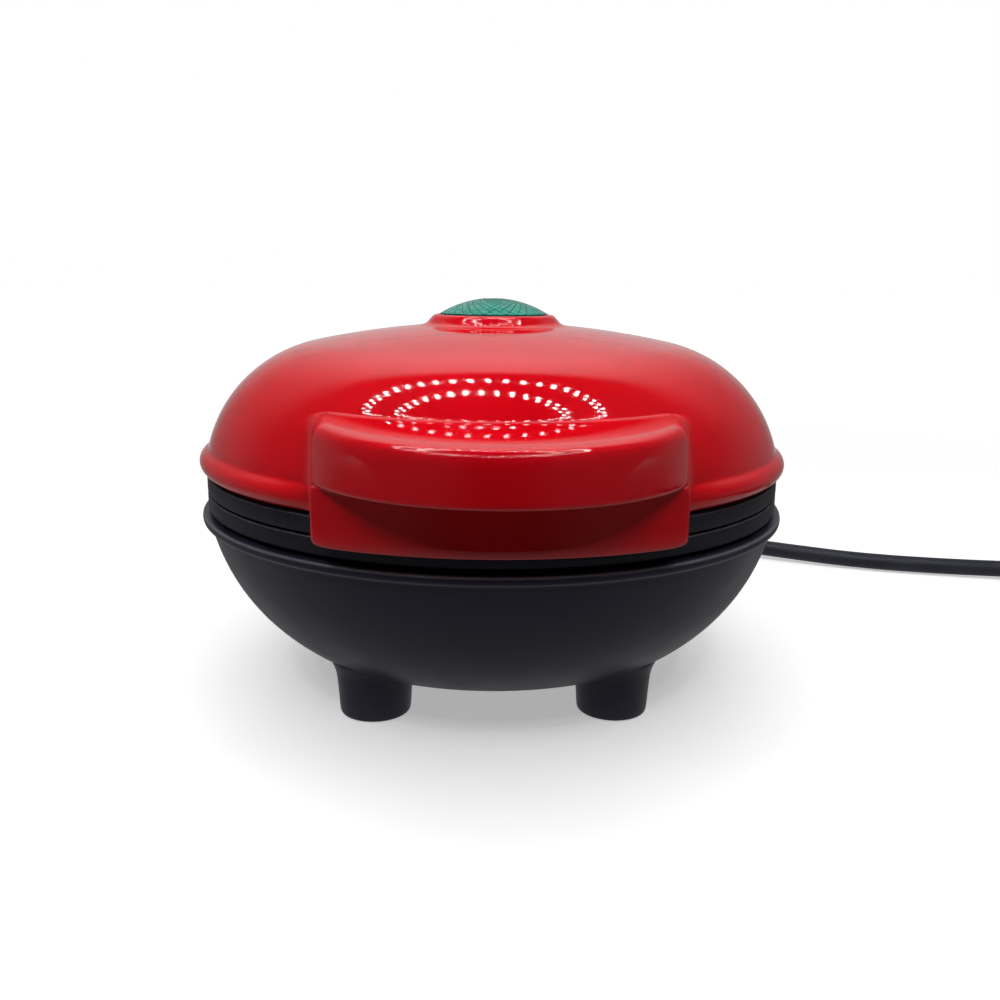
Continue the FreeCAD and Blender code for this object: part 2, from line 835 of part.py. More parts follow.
# Tubes along straight runs joined by tangent arcs
def rounded_path(points, share):
    edges = []
    radii = []
    here = points[0]
    for a, b, c in zip(points, points[1:], points[2:]):
        into = (b - a).normalize()
        out = (c - b).normalize()
        half = into.getAngle(out) / 2
        trim = share * min((b - a).Length, (c - b).Length)
        radii.append(trim / math.tan(half))
        start = b - into * trim
        end = b + out * trim
        bisector = (out - into).normalize()
        mid = b + bisector * (radii[-1] / math.cos(half) - radii[-1])
        edges.append(Part.LineSegment(here, start).toShape())
        edges.append(Part.Arc(start, mid, end).toShape())
        here = end
    edges.append(Part.LineSegment(here, points[-1]).toShape())
    return Part.Wire(edges), radii


def swept(path, start, direction, radius):
    ring = Part.Wire(Part.makeCircle(radius, start, direction))
    return path.makePipeShell([ring], True, False)


def power_cord():
    points = [vec(*p) for p in cord_route]
    path, radii = rounded_path(points, cord_bend_share)
    tube = swept(path, points[0], points[1] - points[0], cord_radius)
    section = math.pi * cord_radius ** 2
    print("cord radii", [round(r, 1) for r in radii], "run", round(path.Length, 1))
    print("cord volume over section times length", round(tube.Volume / (section * path.Length), 4))
    return tube


# Coil of the put-away cord: a flat spiral in, a climb of one layer, and a spiral out
coil_start = vec(*cord_route[-1])
coil_heading = (coil_start - vec(*cord_route[-2])).normalize()
coil_start_angle = math.degrees(math.atan2(coil_heading.x, -coil_heading.y))
coil_lead_end = coil_start + coil_heading * cord_diameter
coil_turns_out = coil_turns_in + coil_start_angle / 360.0
coil_inner_radius = coil_radius - coil_pitch * coil_turns_in
coil_centre = coil_lead_end - vec(*polar((0, 0), coil_radius, coil_start_angle), 0)


def coil_point(turns):
    climb = (turns - coil_turns_in) / coil_climb_turns
    rise = min(max(climb, 0.0), 1.0)
    dip = coil_climb_turns * coil_pitch * rise * (1 - rise)
    outward = max(coil_turns_in - turns, turns - coil_turns_in - coil_climb_turns, 0.0)
    radius = coil_inner_radius + coil_pitch * outward - dip
    x, y = polar((0, 0), radius, coil_start_angle - 360.0 * turns)
    smooth = rise * rise * (3 - 2 * rise)
    return vec(coil_centre.x + x, coil_centre.y + y, coil_level + coil_pitch * smooth)


def coil_tangent(turns, last):
    step = 0.001
    ahead = coil_point(min(turns + step, last))
    return (ahead - coil_point(max(turns - step, 0.0))).normalize()


def bend(a, corner, b):
    middle = (a + b) / 2
    half = (b - a).Length / 2
    rise = (corner - middle).Length
    turn = math.atan2(rise, half)
    top = middle + (corner - middle).normalize() * (half * math.tan(turn / 2))
    return Part.Arc(a, top, b).toShape()


def biarc(a, a_way, b, b_way):
    span = b - a
    ways = a_way + b_way
    square = 2 * (1 - a_way.dot(b_way))
    cross = span.dot(ways)
    reach = (-cross + math.sqrt(cross ** 2 + square * span.dot(span))) / square
    first = a + a_way * reach
    second = b - b_way * reach
    join = (first + second) / 2
    return [bend(a, first, join), bend(join, second, b)]


coil_turns = coil_turns_in + coil_climb_turns + coil_turns_out


def coil_path():
    steps = round(coil_turns * 4)
    stops = [coil_turns * n / steps for n in range(steps + 1)]
    places = [coil_point(t) for t in stops]
    ways = [coil_tangent(t, coil_turns) for t in stops]
    ways[0] = coil_heading
    ways[-1] = vec(0, -1, 0)
    edges = [Part.LineSegment(coil_start, places[0]).toShape()]
    for n in range(steps):
        edges += biarc(places[n], ways[n], places[n + 1], ways[n + 1])
    tail = places[-1] + ways[-1] * coil_tail_length
    edges.append(Part.LineSegment(places[-1], tail).toShape())
    return Part.Wire(edges), tail


coil_wire, coil_tail = coil_path()


def coil_self_gap():
    # Least distance between turns, on points a third of a turn or more apart
    count = 400
    points = [coil_point(coil_turns * n / count) for n in range(count + 1)]
    apart = round(count / coil_turns / 3)
    least = min(
        (points[i] - points[j]).Length
        for i in range(count + 1)
        for j in range(i + apart, count + 1)
    )
    return least - cord_diameter


def cord_coil():
    coil = swept(coil_wire, coil_start, coil_heading, cord_radius)
    section = math.pi * cord_radius ** 2
    print("coil length", round(coil_wire.Length, 1), "least gap", round(coil_self_gap(), 2))
    print("coil volume over section times length", round(coil.Volume / (section * coil_wire.Length), 4))
    return coil


def coil_tie():
    # Flat band round the turns on the front side of the coil
    inner = coil_inner_radius - cord_radius - tie_clearance
    outer = coil_radius + cord_radius + tie_clearance
    low = coil_level - cord_radius - tie_clearance / 2
    high = coil_level + coil_pitch + cord_radius + tie_clearance / 2
    hole = Part.makeBox(tie_width, outer - inner, high - low, vec(-tie_width / 2, -outer, low))
    grow = tie_thickness
    band = Part.makeBox(
        tie_width,
        outer - inner + 2 * grow,
        high - low + 2 * grow,
        vec(-tie_width / 2, -outer - grow, low - grow),
    )
    band = band.cut(hole)
    band.translate(vec(coil_centre.x, coil_centre.y, 0))
    return band


def strain_relief():
    face = cord_boss_end
    inner = relief_inner_length
    tip = relief_flange_height + relief_length
    profile = [
        (0, -inner),
        (relief_neck_radius, -inner),
        (relief_neck_radius, 0),
        (relief_flange_radius, 0),
        (relief_flange_radius, relief_flange_height),
        (relief_neck_radius, relief_flange_height),
        (relief_tip_radius, tip),
        (0, tip),
    ]
    boot = revolved(lines(profile + profile[:1]))
    boot.rotate(vec(0, 0, 0), x_axis, -90)
    boot.translate(vec(0, face, exit_height))
    return boot


def rounded_rect(width, height, corner, place):
    x, z = width / 2, height / 2
    points = [vec(-x, 0, -z), vec(x, 0, -z), vec(x, 0, z), vec(-x, 0, z)]
    edges = []
    for n in range(4):
        a, b, c = points[n - 1], points[n], points[(n + 1) % 4]
        start = b + (a - b).normalize() * corner
        end = b + (c - b).normalize() * corner
        mid = b + ((a - b).normalize() + (c - b).normalize()) * (corner * (1 - math.sqrt(0.5)))
        following = c + (b - c).normalize() * corner
        edges.append(Part.Arc(start, mid, end).toShape())
        edges.append(Part.LineSegment(end, following).toShape())
    wire = Part.Wire(edges)
    wire.translate(place)
    return wire


def plug_body():
    corner = plug_corner
    neck = rounded_rect(plug_neck_width, plug_neck_width, corner, coil_tail)
    shoulder_place = coil_tail - vec(0, plug_neck_length, 0)
    shoulder = rounded_rect(plug_width, plug_thickness, corner, shoulder_place)
    face = rounded_rect(plug_width, plug_thickness, corner, shoulder_place - vec(0, plug_length, 0))
    return Part.makeLoft([neck, shoulder, face], True, True).cut(blade_group(blade_clearance))


def blade_group(clearance):
    face = coil_tail - vec(0, plug_neck_length + plug_length, 0)
    blades = []
    for side in (-1, 1):
        place = vec(
            face.x + side * blade_spacing / 2 - blade_thickness / 2 - clearance,
            face.y - blade_length,
            face.z - blade_width / 2 - clearance,
        )
        blades.append(Part.makeBox(
            blade_thickness + 2 * clearance,
            blade_length + blade_depth + clearance,
            blade_width + 2 * clearance,
            place,
        ))
    return Part.makeCompound(blades)


def foot_pads():
    return Part.makeCompound(pad_recess(0))


pieces = {
    "lower_housing": lower_housing,
    "foot_pads": foot_pads,
    "lower_plate": lower_plate,
    "lower_heating_element": lower_element,
    "lower_heat_shield": lower_shield,
    "lower_plate_screws": lower_screws,
    "thermostat": thermostat,
    "thermal_fuse": thermal_fuse,
    "terminal_block": terminal_block,
    "lead_wires": lead_wires,
    "hinge_pin": hinge_pin,
    "upper_housing": upper_housing,
    "indicator_lens": indicator_lens,
    "lamp_holder": lamp_holder,
    "neon_lamp": neon_lamp,
    "upper_plate": upper_plate,
    "upper_heating_element": upper_element,
    "upper_heat_shield": upper_shield,
    "upper_plate_screws": upper_screws,
    "strain_relief": strain_relief,
}
for name, make in pieces.items():
    export(name, make())

# The loose cord and what is on it are placed in the object's frame already
loose_pieces = {
    "power_cord": power_cord,
    "cord_coil": cord_coil,
    "coil_tie": coil_tie,
    "plug_body": plug_body,
    "plug_blades": lambda: blade_group(0),
}
for name, make in loose_pieces.items():
    make().exportStep("parts/" + name + ".step")
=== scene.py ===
import math
import bmesh
import bpy
from mathutils import Matrix, Vector


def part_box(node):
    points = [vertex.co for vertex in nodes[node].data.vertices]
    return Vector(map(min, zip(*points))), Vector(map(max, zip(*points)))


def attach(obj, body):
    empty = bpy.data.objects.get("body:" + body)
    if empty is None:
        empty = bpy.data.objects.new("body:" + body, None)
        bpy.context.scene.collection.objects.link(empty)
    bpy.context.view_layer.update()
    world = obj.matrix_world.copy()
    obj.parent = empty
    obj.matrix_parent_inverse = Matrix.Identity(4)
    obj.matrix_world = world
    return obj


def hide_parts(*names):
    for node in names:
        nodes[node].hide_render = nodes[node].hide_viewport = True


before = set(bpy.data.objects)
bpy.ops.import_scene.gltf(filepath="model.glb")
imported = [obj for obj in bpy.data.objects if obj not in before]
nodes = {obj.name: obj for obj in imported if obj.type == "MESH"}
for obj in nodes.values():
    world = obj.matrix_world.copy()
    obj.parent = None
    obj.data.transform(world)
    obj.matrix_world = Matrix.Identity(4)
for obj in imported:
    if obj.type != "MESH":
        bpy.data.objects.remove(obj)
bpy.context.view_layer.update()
print("frame loaded,", len(nodes), "nodes")

# pieces are shaped in millimetres about the upright axis of lid and bowl, 2 mm behind the frame's origin
toFrame = Matrix.Translation((0, 0.002, 0)) @ Matrix.Scale(0.001, 4)
mergeGap = 1e-4
white = (1, 1, 1, 1)


def mix(a, b, share):
    return a + (b - a) * share


def smoothStep(share):
    share = min(max(share, 0.0), 1.0)
    return share * share * (3 - 2 * share)


def onArc(centre, radius, degrees):
    angle = math.radians(degrees)
    return (centre[0] + radius * math.cos(angle), centre[1] + radius * math.sin(angle))


def arcRows(centre, radius, angles):
    return [onArc(centre, radius, degrees) for degrees in angles]


def nodeBox(nodeName):
    return [toFrame.inverted() @ Vector(corner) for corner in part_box(nodeName)]


def linkMesh(name, bm, material):
    mesh = bpy.data.meshes.new(name)
    bm.to_mesh(mesh)
    bm.free()
    mesh.materials.append(material)
    made = bpy.data.objects.new(name, mesh)
    bpy.context.scene.collection.objects.link(made)
    return made


def addPiece(name, bm, material, body):
    bmesh.ops.transform(bm, matrix=toFrame, verts=bm.verts[:])
    piece = linkMesh(name, bm, material)
    piece.data.shade_smooth()
    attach(piece, body)
    print("made", name, len(piece.data.polygons), "faces")
    return piece


def subdivide(piece, levels):
    rounder = piece.modifiers.new("rounding", "SUBSURF")
    rounder.levels = levels
    rounder.render_levels = levels


def keepCreases(piece, degrees):
    piece.data.set_sharp_from_angle(angle=math.radians(degrees))


def mergeDoubles(bm):
    bmesh.ops.remove_doubles(bm, verts=bm.verts[:], dist=mergeGap)


def faceOutward(bm):
    bmesh.ops.recalc_face_normals(bm, faces=bm.faces[:])


def spinOutline(outline, steps, closed=True):
    # turns a list of (radius, height) about the upright axis and notes each vertex's row
    bm = bmesh.new()
    rowOf = bm.verts.layers.int.new("row")
    ring = []
    for row, (radius, height) in enumerate(outline):
        vert = bm.verts.new((radius, 0, height))
        vert[rowOf] = row
        ring.append(vert)
    pairs = list(zip(ring, ring[1:]))
    if closed:
        pairs.append((ring[-1], ring[0]))
    edges = [bm.edges.new(pair) for pair in pairs]
    bmesh.ops.spin(
        bm, geom=ring + edges, cent=(0, 0, 0), axis=(0, 0, 1), dvec=(0, 0, 0), angle=2 * math.pi, steps=steps,
        use_merge=True, use_duplicate=False,
    )
    mergeDoubles(bm)
    return bm


def spinShell(outline, steps, closed=True):
    bm = spinOutline(outline, steps, closed)
    faceOutward(bm)
    return bm


def joinInto(bm, other):
    part = bpy.data.meshes.new("joining")
    other.to_mesh(part)
    other.free()
    bm.from_mesh(part)
    bpy.data.meshes.remove(part)


def drawnVerts(drawn):
    return [g for g in drawn["geom"] if isinstance(g, bmesh.types.BMVert)]


def openEdges(bm):
    return [e for e in bm.edges if len(e.link_faces) == 1]


def roundEdges(bm, edges, radius, segments, clamp=False):
    bmesh.ops.bevel(
        bm, geom=edges, offset=radius, offset_type="OFFSET", segments=segments, profile=0.5, affect="EDGES",
        material=-1, clamp_overlap=clamp,
    )


def sideBlock(outline, fromX, toX, edgeRadius):
    # an outline of (y, z) drawn across the object, with its edges rounded
    bm = bmesh.new()
    face = bm.faces.new([bm.verts.new((fromX, y, z)) for y, z in outline])
    drawn = bmesh.ops.extrude_face_region(bm, geom=[face])
    bmesh.ops.translate(bm, verts=drawnVerts(drawn), vec=(toX - fromX, 0, 0))
    faceOutward(bm)
    rims = [e for e in bm.edges if abs(e.verts[0].co.x - e.verts[1].co.x) < mergeGap]
    roundEdges(bm, rims, edgeRadius, 4, clamp=True)
    faceOutward(bm)
    return bm


def pointBackward(bm, place):
    # lays an upright spun shape down, so that it runs towards the back
    layDown = Matrix.Rotation(math.radians(-90), 3, "X")
    bmesh.ops.rotate(bm, verts=bm.verts[:], cent=(0, 0, 0), matrix=layDown)
    bmesh.ops.translate(bm, verts=bm.verts[:], vec=place)


def markHighlightRows(bm, shares):
    # marks whole rows of a spun shape, where its finish paints a lighter tone: a painted highlight along
    # those edges
    paintedHighlight = bm.verts.layers.float.new("paintedHighlight")
    rowOf = bm.verts.layers.int["row"]
    for vert in bm.verts:
        vert[paintedHighlight] = shares.get(vert[rowOf], 0.0)


# materials: every finish gets its fine grain and its drift of tone and sheen from noise on object
# coordinates; lighter edges are a painted highlight from a mark on the mesh
noiseSpan = (0.3, 0.7)  # most of a noise lies between these
grainLook = dict(drift=90, driftDetail=3, detail=4, bump=0.5, coolTint=(0.86, 0.85, 1.0, 1))


def addNode(tree, kind, **settings):
    node = tree.nodes.new(kind)
    for setting, value in settings.items():
        setattr(node, setting, value)
    return node


def mapRange(tree, source, fromSpan, toSpan, smooth=False):
    spread = addNode(tree, "ShaderNodeMapRange", interpolation_type="SMOOTHSTEP" if smooth else "LINEAR")
    for limit, value in zip(("From Min", "From Max", "To Min", "To Max"), (*fromSpan, *toSpan)):
        spread.inputs[limit].default_value = value
    tree.links.new(source, spread.inputs["Value"])
    return spread.outputs["Result"]


def newFinish(name, colour, roughness, metallic=0.0):
    material = bpy.data.materials.new(name)
    material.use_nodes = True
    tree = material.node_tree
    shader = tree.nodes["Principled BSDF"]
    shader.inputs["Base Color"].default_value = (*colour, 1)
    shader.inputs["Roughness"].default_value = roughness
    shader.inputs["Metallic"].default_value = metallic
    return material, tree, shader


def addNoise(tree, scale, detail):
    place = tree.nodes.new("ShaderNodeTexCoord")
    noise = tree.nodes.new("ShaderNodeTexNoise")
    noise.inputs["Scale"].default_value = scale
    noise.inputs["Detail"].default_value = detail
    tree.links.new(place.outputs["Object"], noise.inputs["Vector"])
    return noise.outputs["Fac"]


def addBump(tree, shader, source, strength, distance):
    bump = tree.nodes.new("ShaderNodeBump")
    bump.inputs["Strength"].default_value = strength
    bump.inputs["Distance"].default_value = distance
    tree.links.new(source, bump.inputs["Height"])
    tree.links.new(bump.outputs["Normal"], shader.inputs["Normal"])


def varyRoughness(tree, shader, source, smoothest, roughest):
    tree.links.new(mapRange(tree, source, noiseSpan, (smoothest, roughest)), shader.inputs["Roughness"])


def varyColour(tree, shader, source, dark, light):
    ramp = tree.nodes.new("ShaderNodeValToRGB")
    for element, position, tone in zip(ramp.color_ramp.elements, noiseSpan, (dark, light)):
        element.position = position
        element.color = (*tone, 1)
    tree.links.new(source, ramp.inputs["Fac"])
    tree.links.new(ramp.outputs["Color"], shader.inputs["Base Color"])


def markTone(tree, shader, markName, tone):
    # another tone where the mesh carries the mark: a painted highlight on marked edges, or painted shade in
    # the lens's grooves
    mark = addNode(tree, "ShaderNodeAttribute", attribute_name=markName)
    choice = addNode(tree, "ShaderNodeMix", data_type="RGBA")
    choice.inputs["B"].default_value = (*tone, 1)
    tree.links.new(mark.outputs["Fac"], choice.inputs["Factor"])
    tree.links.new(shader.inputs["Base Color"].links[0].from_socket, choice.inputs["A"])
    tree.links.new(choice.outputs["Result"], shader.inputs["Base Color"])


def grainyFinish(name, dark, light, smoothest, roughest, grain, depth, metallic=0.0, gloss=0.5):
    # moulded or cast surface: colour and roughness drift slowly, the grain stands up from it
    material, tree, shader = newFinish(name, light, roughest, metallic)
    shader.inputs["Specular IOR Level"].default_value = gloss
    if not metallic:
        shader.inputs["Specular Tint"].default_value = grainLook["coolTint"]
    drift = addNoise(tree, grainLook["drift"], grainLook["driftDetail"])
    varyColour(tree, shader, drift, dark, light)
    varyRoughness(tree, shader, drift, smoothest, roughest)
    addBump(tree, shader, addNoise(tree, grain, grainLook["detail"]), grainLook["bump"], depth)
    return material


redPaint = dict(
    colour=(0.64, 0.001, 0.007), dark=(0.61, 0.0008, 0.006), light=(0.67, 0.0015, 0.009), drift=60,
    smoothest=0.035, roughest=0.065, gloss=0.45, peel=300, peelBump=0.04, peelDepth=0.00001,
)
redGloss, redTree, redShader = newFinish("redGlossPaint", redPaint["colour"], 0.05)
redDrift = addNoise(redTree, redPaint["drift"], 2)
varyColour(redTree, redShader, redDrift, redPaint["dark"], redPaint["light"])
varyRoughness(redTree, redShader, redDrift, redPaint["smoothest"], redPaint["roughest"])
redShader.inputs["Specular IOR Level"].default_value = redPaint["gloss"]
redPeel = addNoise(redTree, redPaint["peel"], 2)
addBump(redTree, redShader, redPeel, redPaint["peelBump"], redPaint["peelDepth"])

# dark and light tone, smoothest and roughest, scale and depth of the grain
blackMoulding = grainyFinish(
    "satinBlackMoulding", (0.014, 0.0131, 0.026), (0.0195, 0.0184, 0.035), 0.34, 0.44, 2600, 4e-5, gloss=0.32,
)
castCoating = grainyFinish(
    "nonstickCoating", (0.011, 0.0100, 0.016), (0.018, 0.0165, 0.026), 0.40, 0.54, 1300, 22e-5, gloss=0.22,
)
cordSheath = grainyFinish(
    "cordSheath", (0.012, 0.0125, 0.019), (0.020, 0.0205, 0.030), 0.42, 0.52, 1800, 4e-5, gloss=0.36,
)
padRubber = grainyFinish("padRubber", (0.012, 0.012, 0.013), (0.022, 0.022, 0.023), 0.75, 0.9, 1500, 6e-5)
tiePlastic = grainyFinish("tiePlastic", (0.015, 0.015, 0.016), (0.024, 0.024, 0.026), 0.5, 0.6, 1200, 4e-5)
whiteMoulding = grainyFinish("whiteMoulding", (0.62, 0.60, 0.56), (0.72, 0.70, 0.66), 0.4, 0.5, 1500, 4e-5)
heaterSteel = grainyFinish("heaterSteel", (0.20, 0.18, 0.16), (0.34, 0.31, 0.28), 0.32, 0.5, 1200, 3e-5, 1.0)
sheetSteel = grainyFinish("sheetSteel", (0.50, 0.50, 0.51), (0.62, 0.62, 0.63), 0.28, 0.42, 900, 3e-5, 1.0)
screwSteel = grainyFinish("screwSteel", (0.55, 0.55, 0.56), (0.70, 0.70, 0.71), 0.22, 0.36, 1500, 2e-5, 1.0)
bladeBrass = grainyFinish("bladeBrass", (0.70, 0.60, 0.42), (0.80, 0.71, 0.52), 0.2, 0.34, 900, 2e-5, 1.0)
# painted highlight: the lighter tone on the marked edge rows of the bowl's rim and the plate walls
highlightTone = (0.145, 0.142, 0.165)
for finish in (blackMoulding, castCoating):
    markTone(finish.node_tree, finish.node_tree.nodes["Principled BSDF"], "paintedHighlight", highlightTone)

# the groove tone is painted shade: a darker green on the faces of the grooves between the lens's diamonds
lensPlastic = dict(
    colour=(0.02, 0.42, 0.30), dark=(0.002, 0.26, 0.19), light=(0.008, 0.40, 0.29),
    groove=(0.001, 0.10, 0.08), drift=420, smoothest=0.05, roughest=0.14, index=1.49, clear=0.15, gloss=0.2,
)
greenLens, lensTree, lensShader = newFinish("greenLens", lensPlastic["colour"], 0.08)
lensShader.inputs["IOR"].default_value = lensPlastic["index"]
lensShader.inputs["Transmission Weight"].default_value = lensPlastic["clear"]
lensShader.inputs["Specular IOR Level"].default_value = lensPlastic["gloss"]
lensDrift = addNoise(lensTree, lensPlastic["drift"], 2)
varyColour(lensTree, lensShader, lensDrift, lensPlastic["dark"], lensPlastic["light"])
varyRoughness(lensTree, lensShader, lensDrift, lensPlastic["smoothest"], lensPlastic["roughest"])
# painted shade in the lens's grooves, where the darker groove tone goes
markTone(lensTree, lensShader, "groove", lensPlastic["groove"])

clearGlass = dict(colour=(0.9, 0.86, 0.8), clear=0.9, drift=500, smoothest=0.03, roughest=0.08)
lampGlass, lampTree, lampShader = newFinish("lampGlass", clearGlass["colour"], 0.05)
lampShader.inputs["Transmission Weight"].default_value = clearGlass["clear"]
lampDrift = addNoise(lampTree, clearGlass["drift"], 2)
varyRoughness(lampTree, lampShader, lampDrift, clearGlass["smoothest"], clearGlass["roughest"])

nodeFinishes = {
    "lower_housing": blackMoulding, "foot_pads": padRubber, "lower_plate": castCoating,
    "lower_heating_element": heaterSteel, "lower_heat_shield": sheetSteel, "lower_plate_screws": screwSteel,
    "thermostat": whiteMoulding, "thermal_fuse": whiteMoulding, "terminal_block": whiteMoulding,
    "lead_wires": cordSheath, "hinge_pin": screwSteel, "upper_housing": redGloss, "indicator_lens": greenLens,
    "lamp_holder": whiteMoulding, "neon_lamp": lampGlass, "upper_plate": castCoating,
    "upper_heating_element": heaterSteel, "upper_heat_shield": sheetSteel, "upper_plate_screws": screwSteel,
    "strain_relief": cordSheath, "power_cord": cordSheath, "cord_coil": cordSheath, "coil_tie": tiePlastic,
    "plug_body": cordSheath, "plug_blades": bladeBrass,
}
for nodeName, finish in nodeFinishes.items():
    nodes[nodeName].data.materials.clear()
    nodes[nodeName].data.materials.append(finish)
print("materials set on", len(nodeFinishes), "nodes")

# camera at the photograph's place: close, a little above the handle
photoView = dict(
    distance=220.0, height=89.0, turn=1.45, aside=0.47, down=12.83, roll=0.573, lens=34.92, sensor=36.0,
    nearest=0.01,
)
cameraData = bpy.data.cameras.new("camera")
cameraData.lens = photoView["lens"]
cameraData.sensor_width = photoView["sensor"]
cameraData.clip_start = photoView["nearest"]
camera = bpy.data.objects.new("camera", cameraData)
bpy.context.scene.collection.objects.link(camera)
viewTurn = math.radians(photoView["turn"])
viewReach = photoView["distance"]
viewPlace = toFrame @ Vector((
    -viewReach * math.sin(viewTurn), -viewReach * math.cos(viewTurn), photoView["height"],
))
camera.matrix_world = (
    Matrix.Translation(viewPlace)
    @ Matrix.Rotation(math.radians(-photoView["turn"] - photoView["aside"]), 4, "Z")
    @ Matrix.Rotation(math.radians(90 - photoView["down"]), 4, "X")
    @ Matrix.Rotation(math.radians(photoView["roll"]), 4, "Z")
)
bpy.context.scene.camera = camera
print("camera placed")

# mains cord, in the frame's own millimetres: straight out of the boot, down to the table, then away
# to the right and into a tied coil
flex = dict(diameter=0.005, length=0.947, section=6, fineness=8)
flexRoute = [
    (0.0, 84.6, 17.3), (0.0, 100.0, 17.3), (5.0, 116.0, 13.5), (17.5, 127.5, 7.6), (37.0, 130.0, 2.8),
    (58.5, 115.0, 2.8), (78.0, 95.5, 3.6), (98.5, 84.5, 3.2), (119.0, 75.0, 2.8), (143.5, 68.5, 2.8),
    (169.5, 63.0, 3.3), (193.0, 51.5, 3.3),
]
coil = dict(radius=31.0, pitch=5.6, turnsIn=1.75, climb=0.5, tail=22.0, level=3.3, turnPoints=20)


def coilPoints():
    routeEnd = Vector(flexRoute[-1])
    heading = (routeEnd - Vector(flexRoute[-2])).normalized()
    startAngle = math.atan2(heading.x, -heading.y)
    leadEnd = routeEnd + heading * flex["diameter"] * 1000
    middle = leadEnd - Vector((math.cos(startAngle), math.sin(startAngle), 0)) * coil["radius"]
    innerRadius = coil["radius"] - coil["pitch"] * coil["turnsIn"]
    allTurns = 2 * coil["turnsIn"] + coil["climb"] + startAngle / (2 * math.pi)
    count = round(allTurns * coil["turnPoints"])
    overshoot = 2 / (1 + math.cos(2 * math.pi * allTurns / count / 2))  # the spline runs inside its points
    points = []
    for n in range(count + 1):
        turns = allTurns * n / count
        rise = min(max((turns - coil["turnsIn"]) / coil["climb"], 0.0), 1.0)
        outward = max(coil["turnsIn"] - turns, turns - coil["turnsIn"] - coil["climb"], 0.0)
        radius = innerRadius + coil["pitch"] * (outward - coil["climb"] * rise * (1 - rise))
        radius *= overshoot
        angle = startAngle - 2 * math.pi * turns
        height = coil["level"] + coil["pitch"] * smoothStep(rise)
        points.append((middle.x + radius * math.cos(angle), middle.y + radius * math.sin(angle), height))
    last = Vector(points[-1])
    points += [tuple(last + Vector((0, -coil["tail"] * share, 0))) for share in (0.35, 1.0)]
    return points


flexCurve = bpy.data.curves.new("mainsFlex", "CURVE")
flexCurve.dimensions = "3D"
flexCurve.bevel_depth = flex["diameter"] / 2
flexCurve.bevel_resolution = flex["section"]
flexCurve.resolution_u = flex["fineness"]
flexCurve.use_fill_caps = True
flexLine = flexCurve.splines.new("NURBS")
controlPoints = flexRoute + coilPoints()
flexLine.points.add(len(controlPoints) - 1)
for point, (x, y, z) in zip(flexLine.points, controlPoints):
    point.co = (x / 1000, y / 1000, z / 1000, 1)
flexLine.order_u = 3
flexLine.use_endpoint_u = True
flexCurve.materials.append(cordSheath)
mainsFlex = bpy.data.objects.new("mainsFlex", flexCurve)
bpy.context.scene.collection.objects.link(mainsFlex)
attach(mainsFlex, "base")
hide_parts("power_cord", "cord_coil")
print("cord laid,", len(controlPoints), "points")

# red lid: dome, bead and handle are one skin, spun about the axis and drawn forward at the handle
lid = dict(
    columns=120, crownTop=79.6, crownRadius=195.0, crownEnd=78.26, shoulder=(33.58, 46.25),
    shoulderRadius=29.9, wall=2.2, bead=(62.2, 51.05), beadRadius=2.45, beadDraw=0.965, beadFade=(0.8, 0.35),
    rim=48.6, inner=60.15, gather=16.0, pullColumns=15, seamColumns=6, blendSteps=5,
    collar=[
        (12.3, 79.0), (12.3, 80.8), (12.4, 81.3), (12.75, 81.4), (13.3, 81.25), (13.85, 80.75), (14.35, 80.1),
        (15.0, 79.42), (16.05, 79.04),
    ],
)
handle = dict(
    side=32.0, root=33.0, flare=8.0, corner=3.0, edge=2.5, band=0.4, front=78.9, sagitta=20.0, chord=32.0,
    topHeight=65.9, topFall=0.041, topRoot=40.0, topRow=0.9, topMiddle=0.55, domeGap=1.6,
    lipRound=((2.5, 0.0), (1.2, 0.42), (0.5, 1.45), (0.16, 3.6)),  # inset and drop over the lip's top edge
    lipFoot=((0.0, 1.5), (0.0, 0.4), (0.35, 0.0)), bottom=54.75,  # inset and rise at its lower edge
    underDrops=(0.0, 0.35, 1.5), apronRows=(1.0, 0.1), apronRadius=68.0, apronInner=65.8, apronLow=44.0,
    apronTuck=1.1, recess=0.5, innerRise=3.0, innerHigh=48.2, rimShare=0.7,
)
sideWall = dict(  # pairs are for the column half way back and the one close to the dome
    row=(0.9, 0.8), insetShare=(0.6, 0.2), fallShare=(0.4, 0.8), backShare=(0.72, 0.36), backMost=2.4,
    insets=(2.5, 2.5, 2.5, 2.5, 1.2, 0.32, 0.0), apronShare=0.45, apronGap=1.6, apronRow=1.2, nearGap=1.5,
)
# columns from the handle's middle: past the nose, the lip's end, beside the dome, the seam, the free dome
noseEnd, lipEnd, sideNear, seamColumn, freeColumn = 7, 9, 11, 12, 13
# steps down the handle: past the top, the round edge, the lip, the side wall and the apron's face
topEnd, edgeEnd, lipFootEnd, wallEnd, apronEnd = 3, 7, 10, 12, 15
noseRadius = (handle["chord"] ** 2 + handle["sagitta"] ** 2) / (2 * handle["sagitta"])
noseMiddle = noseRadius - handle["front"]
cornerX = handle["side"] - handle["corner"]
cornerY = noseMiddle - math.sqrt((noseRadius - handle["corner"]) ** 2 - cornerX ** 2)
cornerTurn = math.degrees(math.atan2(cornerX, noseMiddle - cornerY))
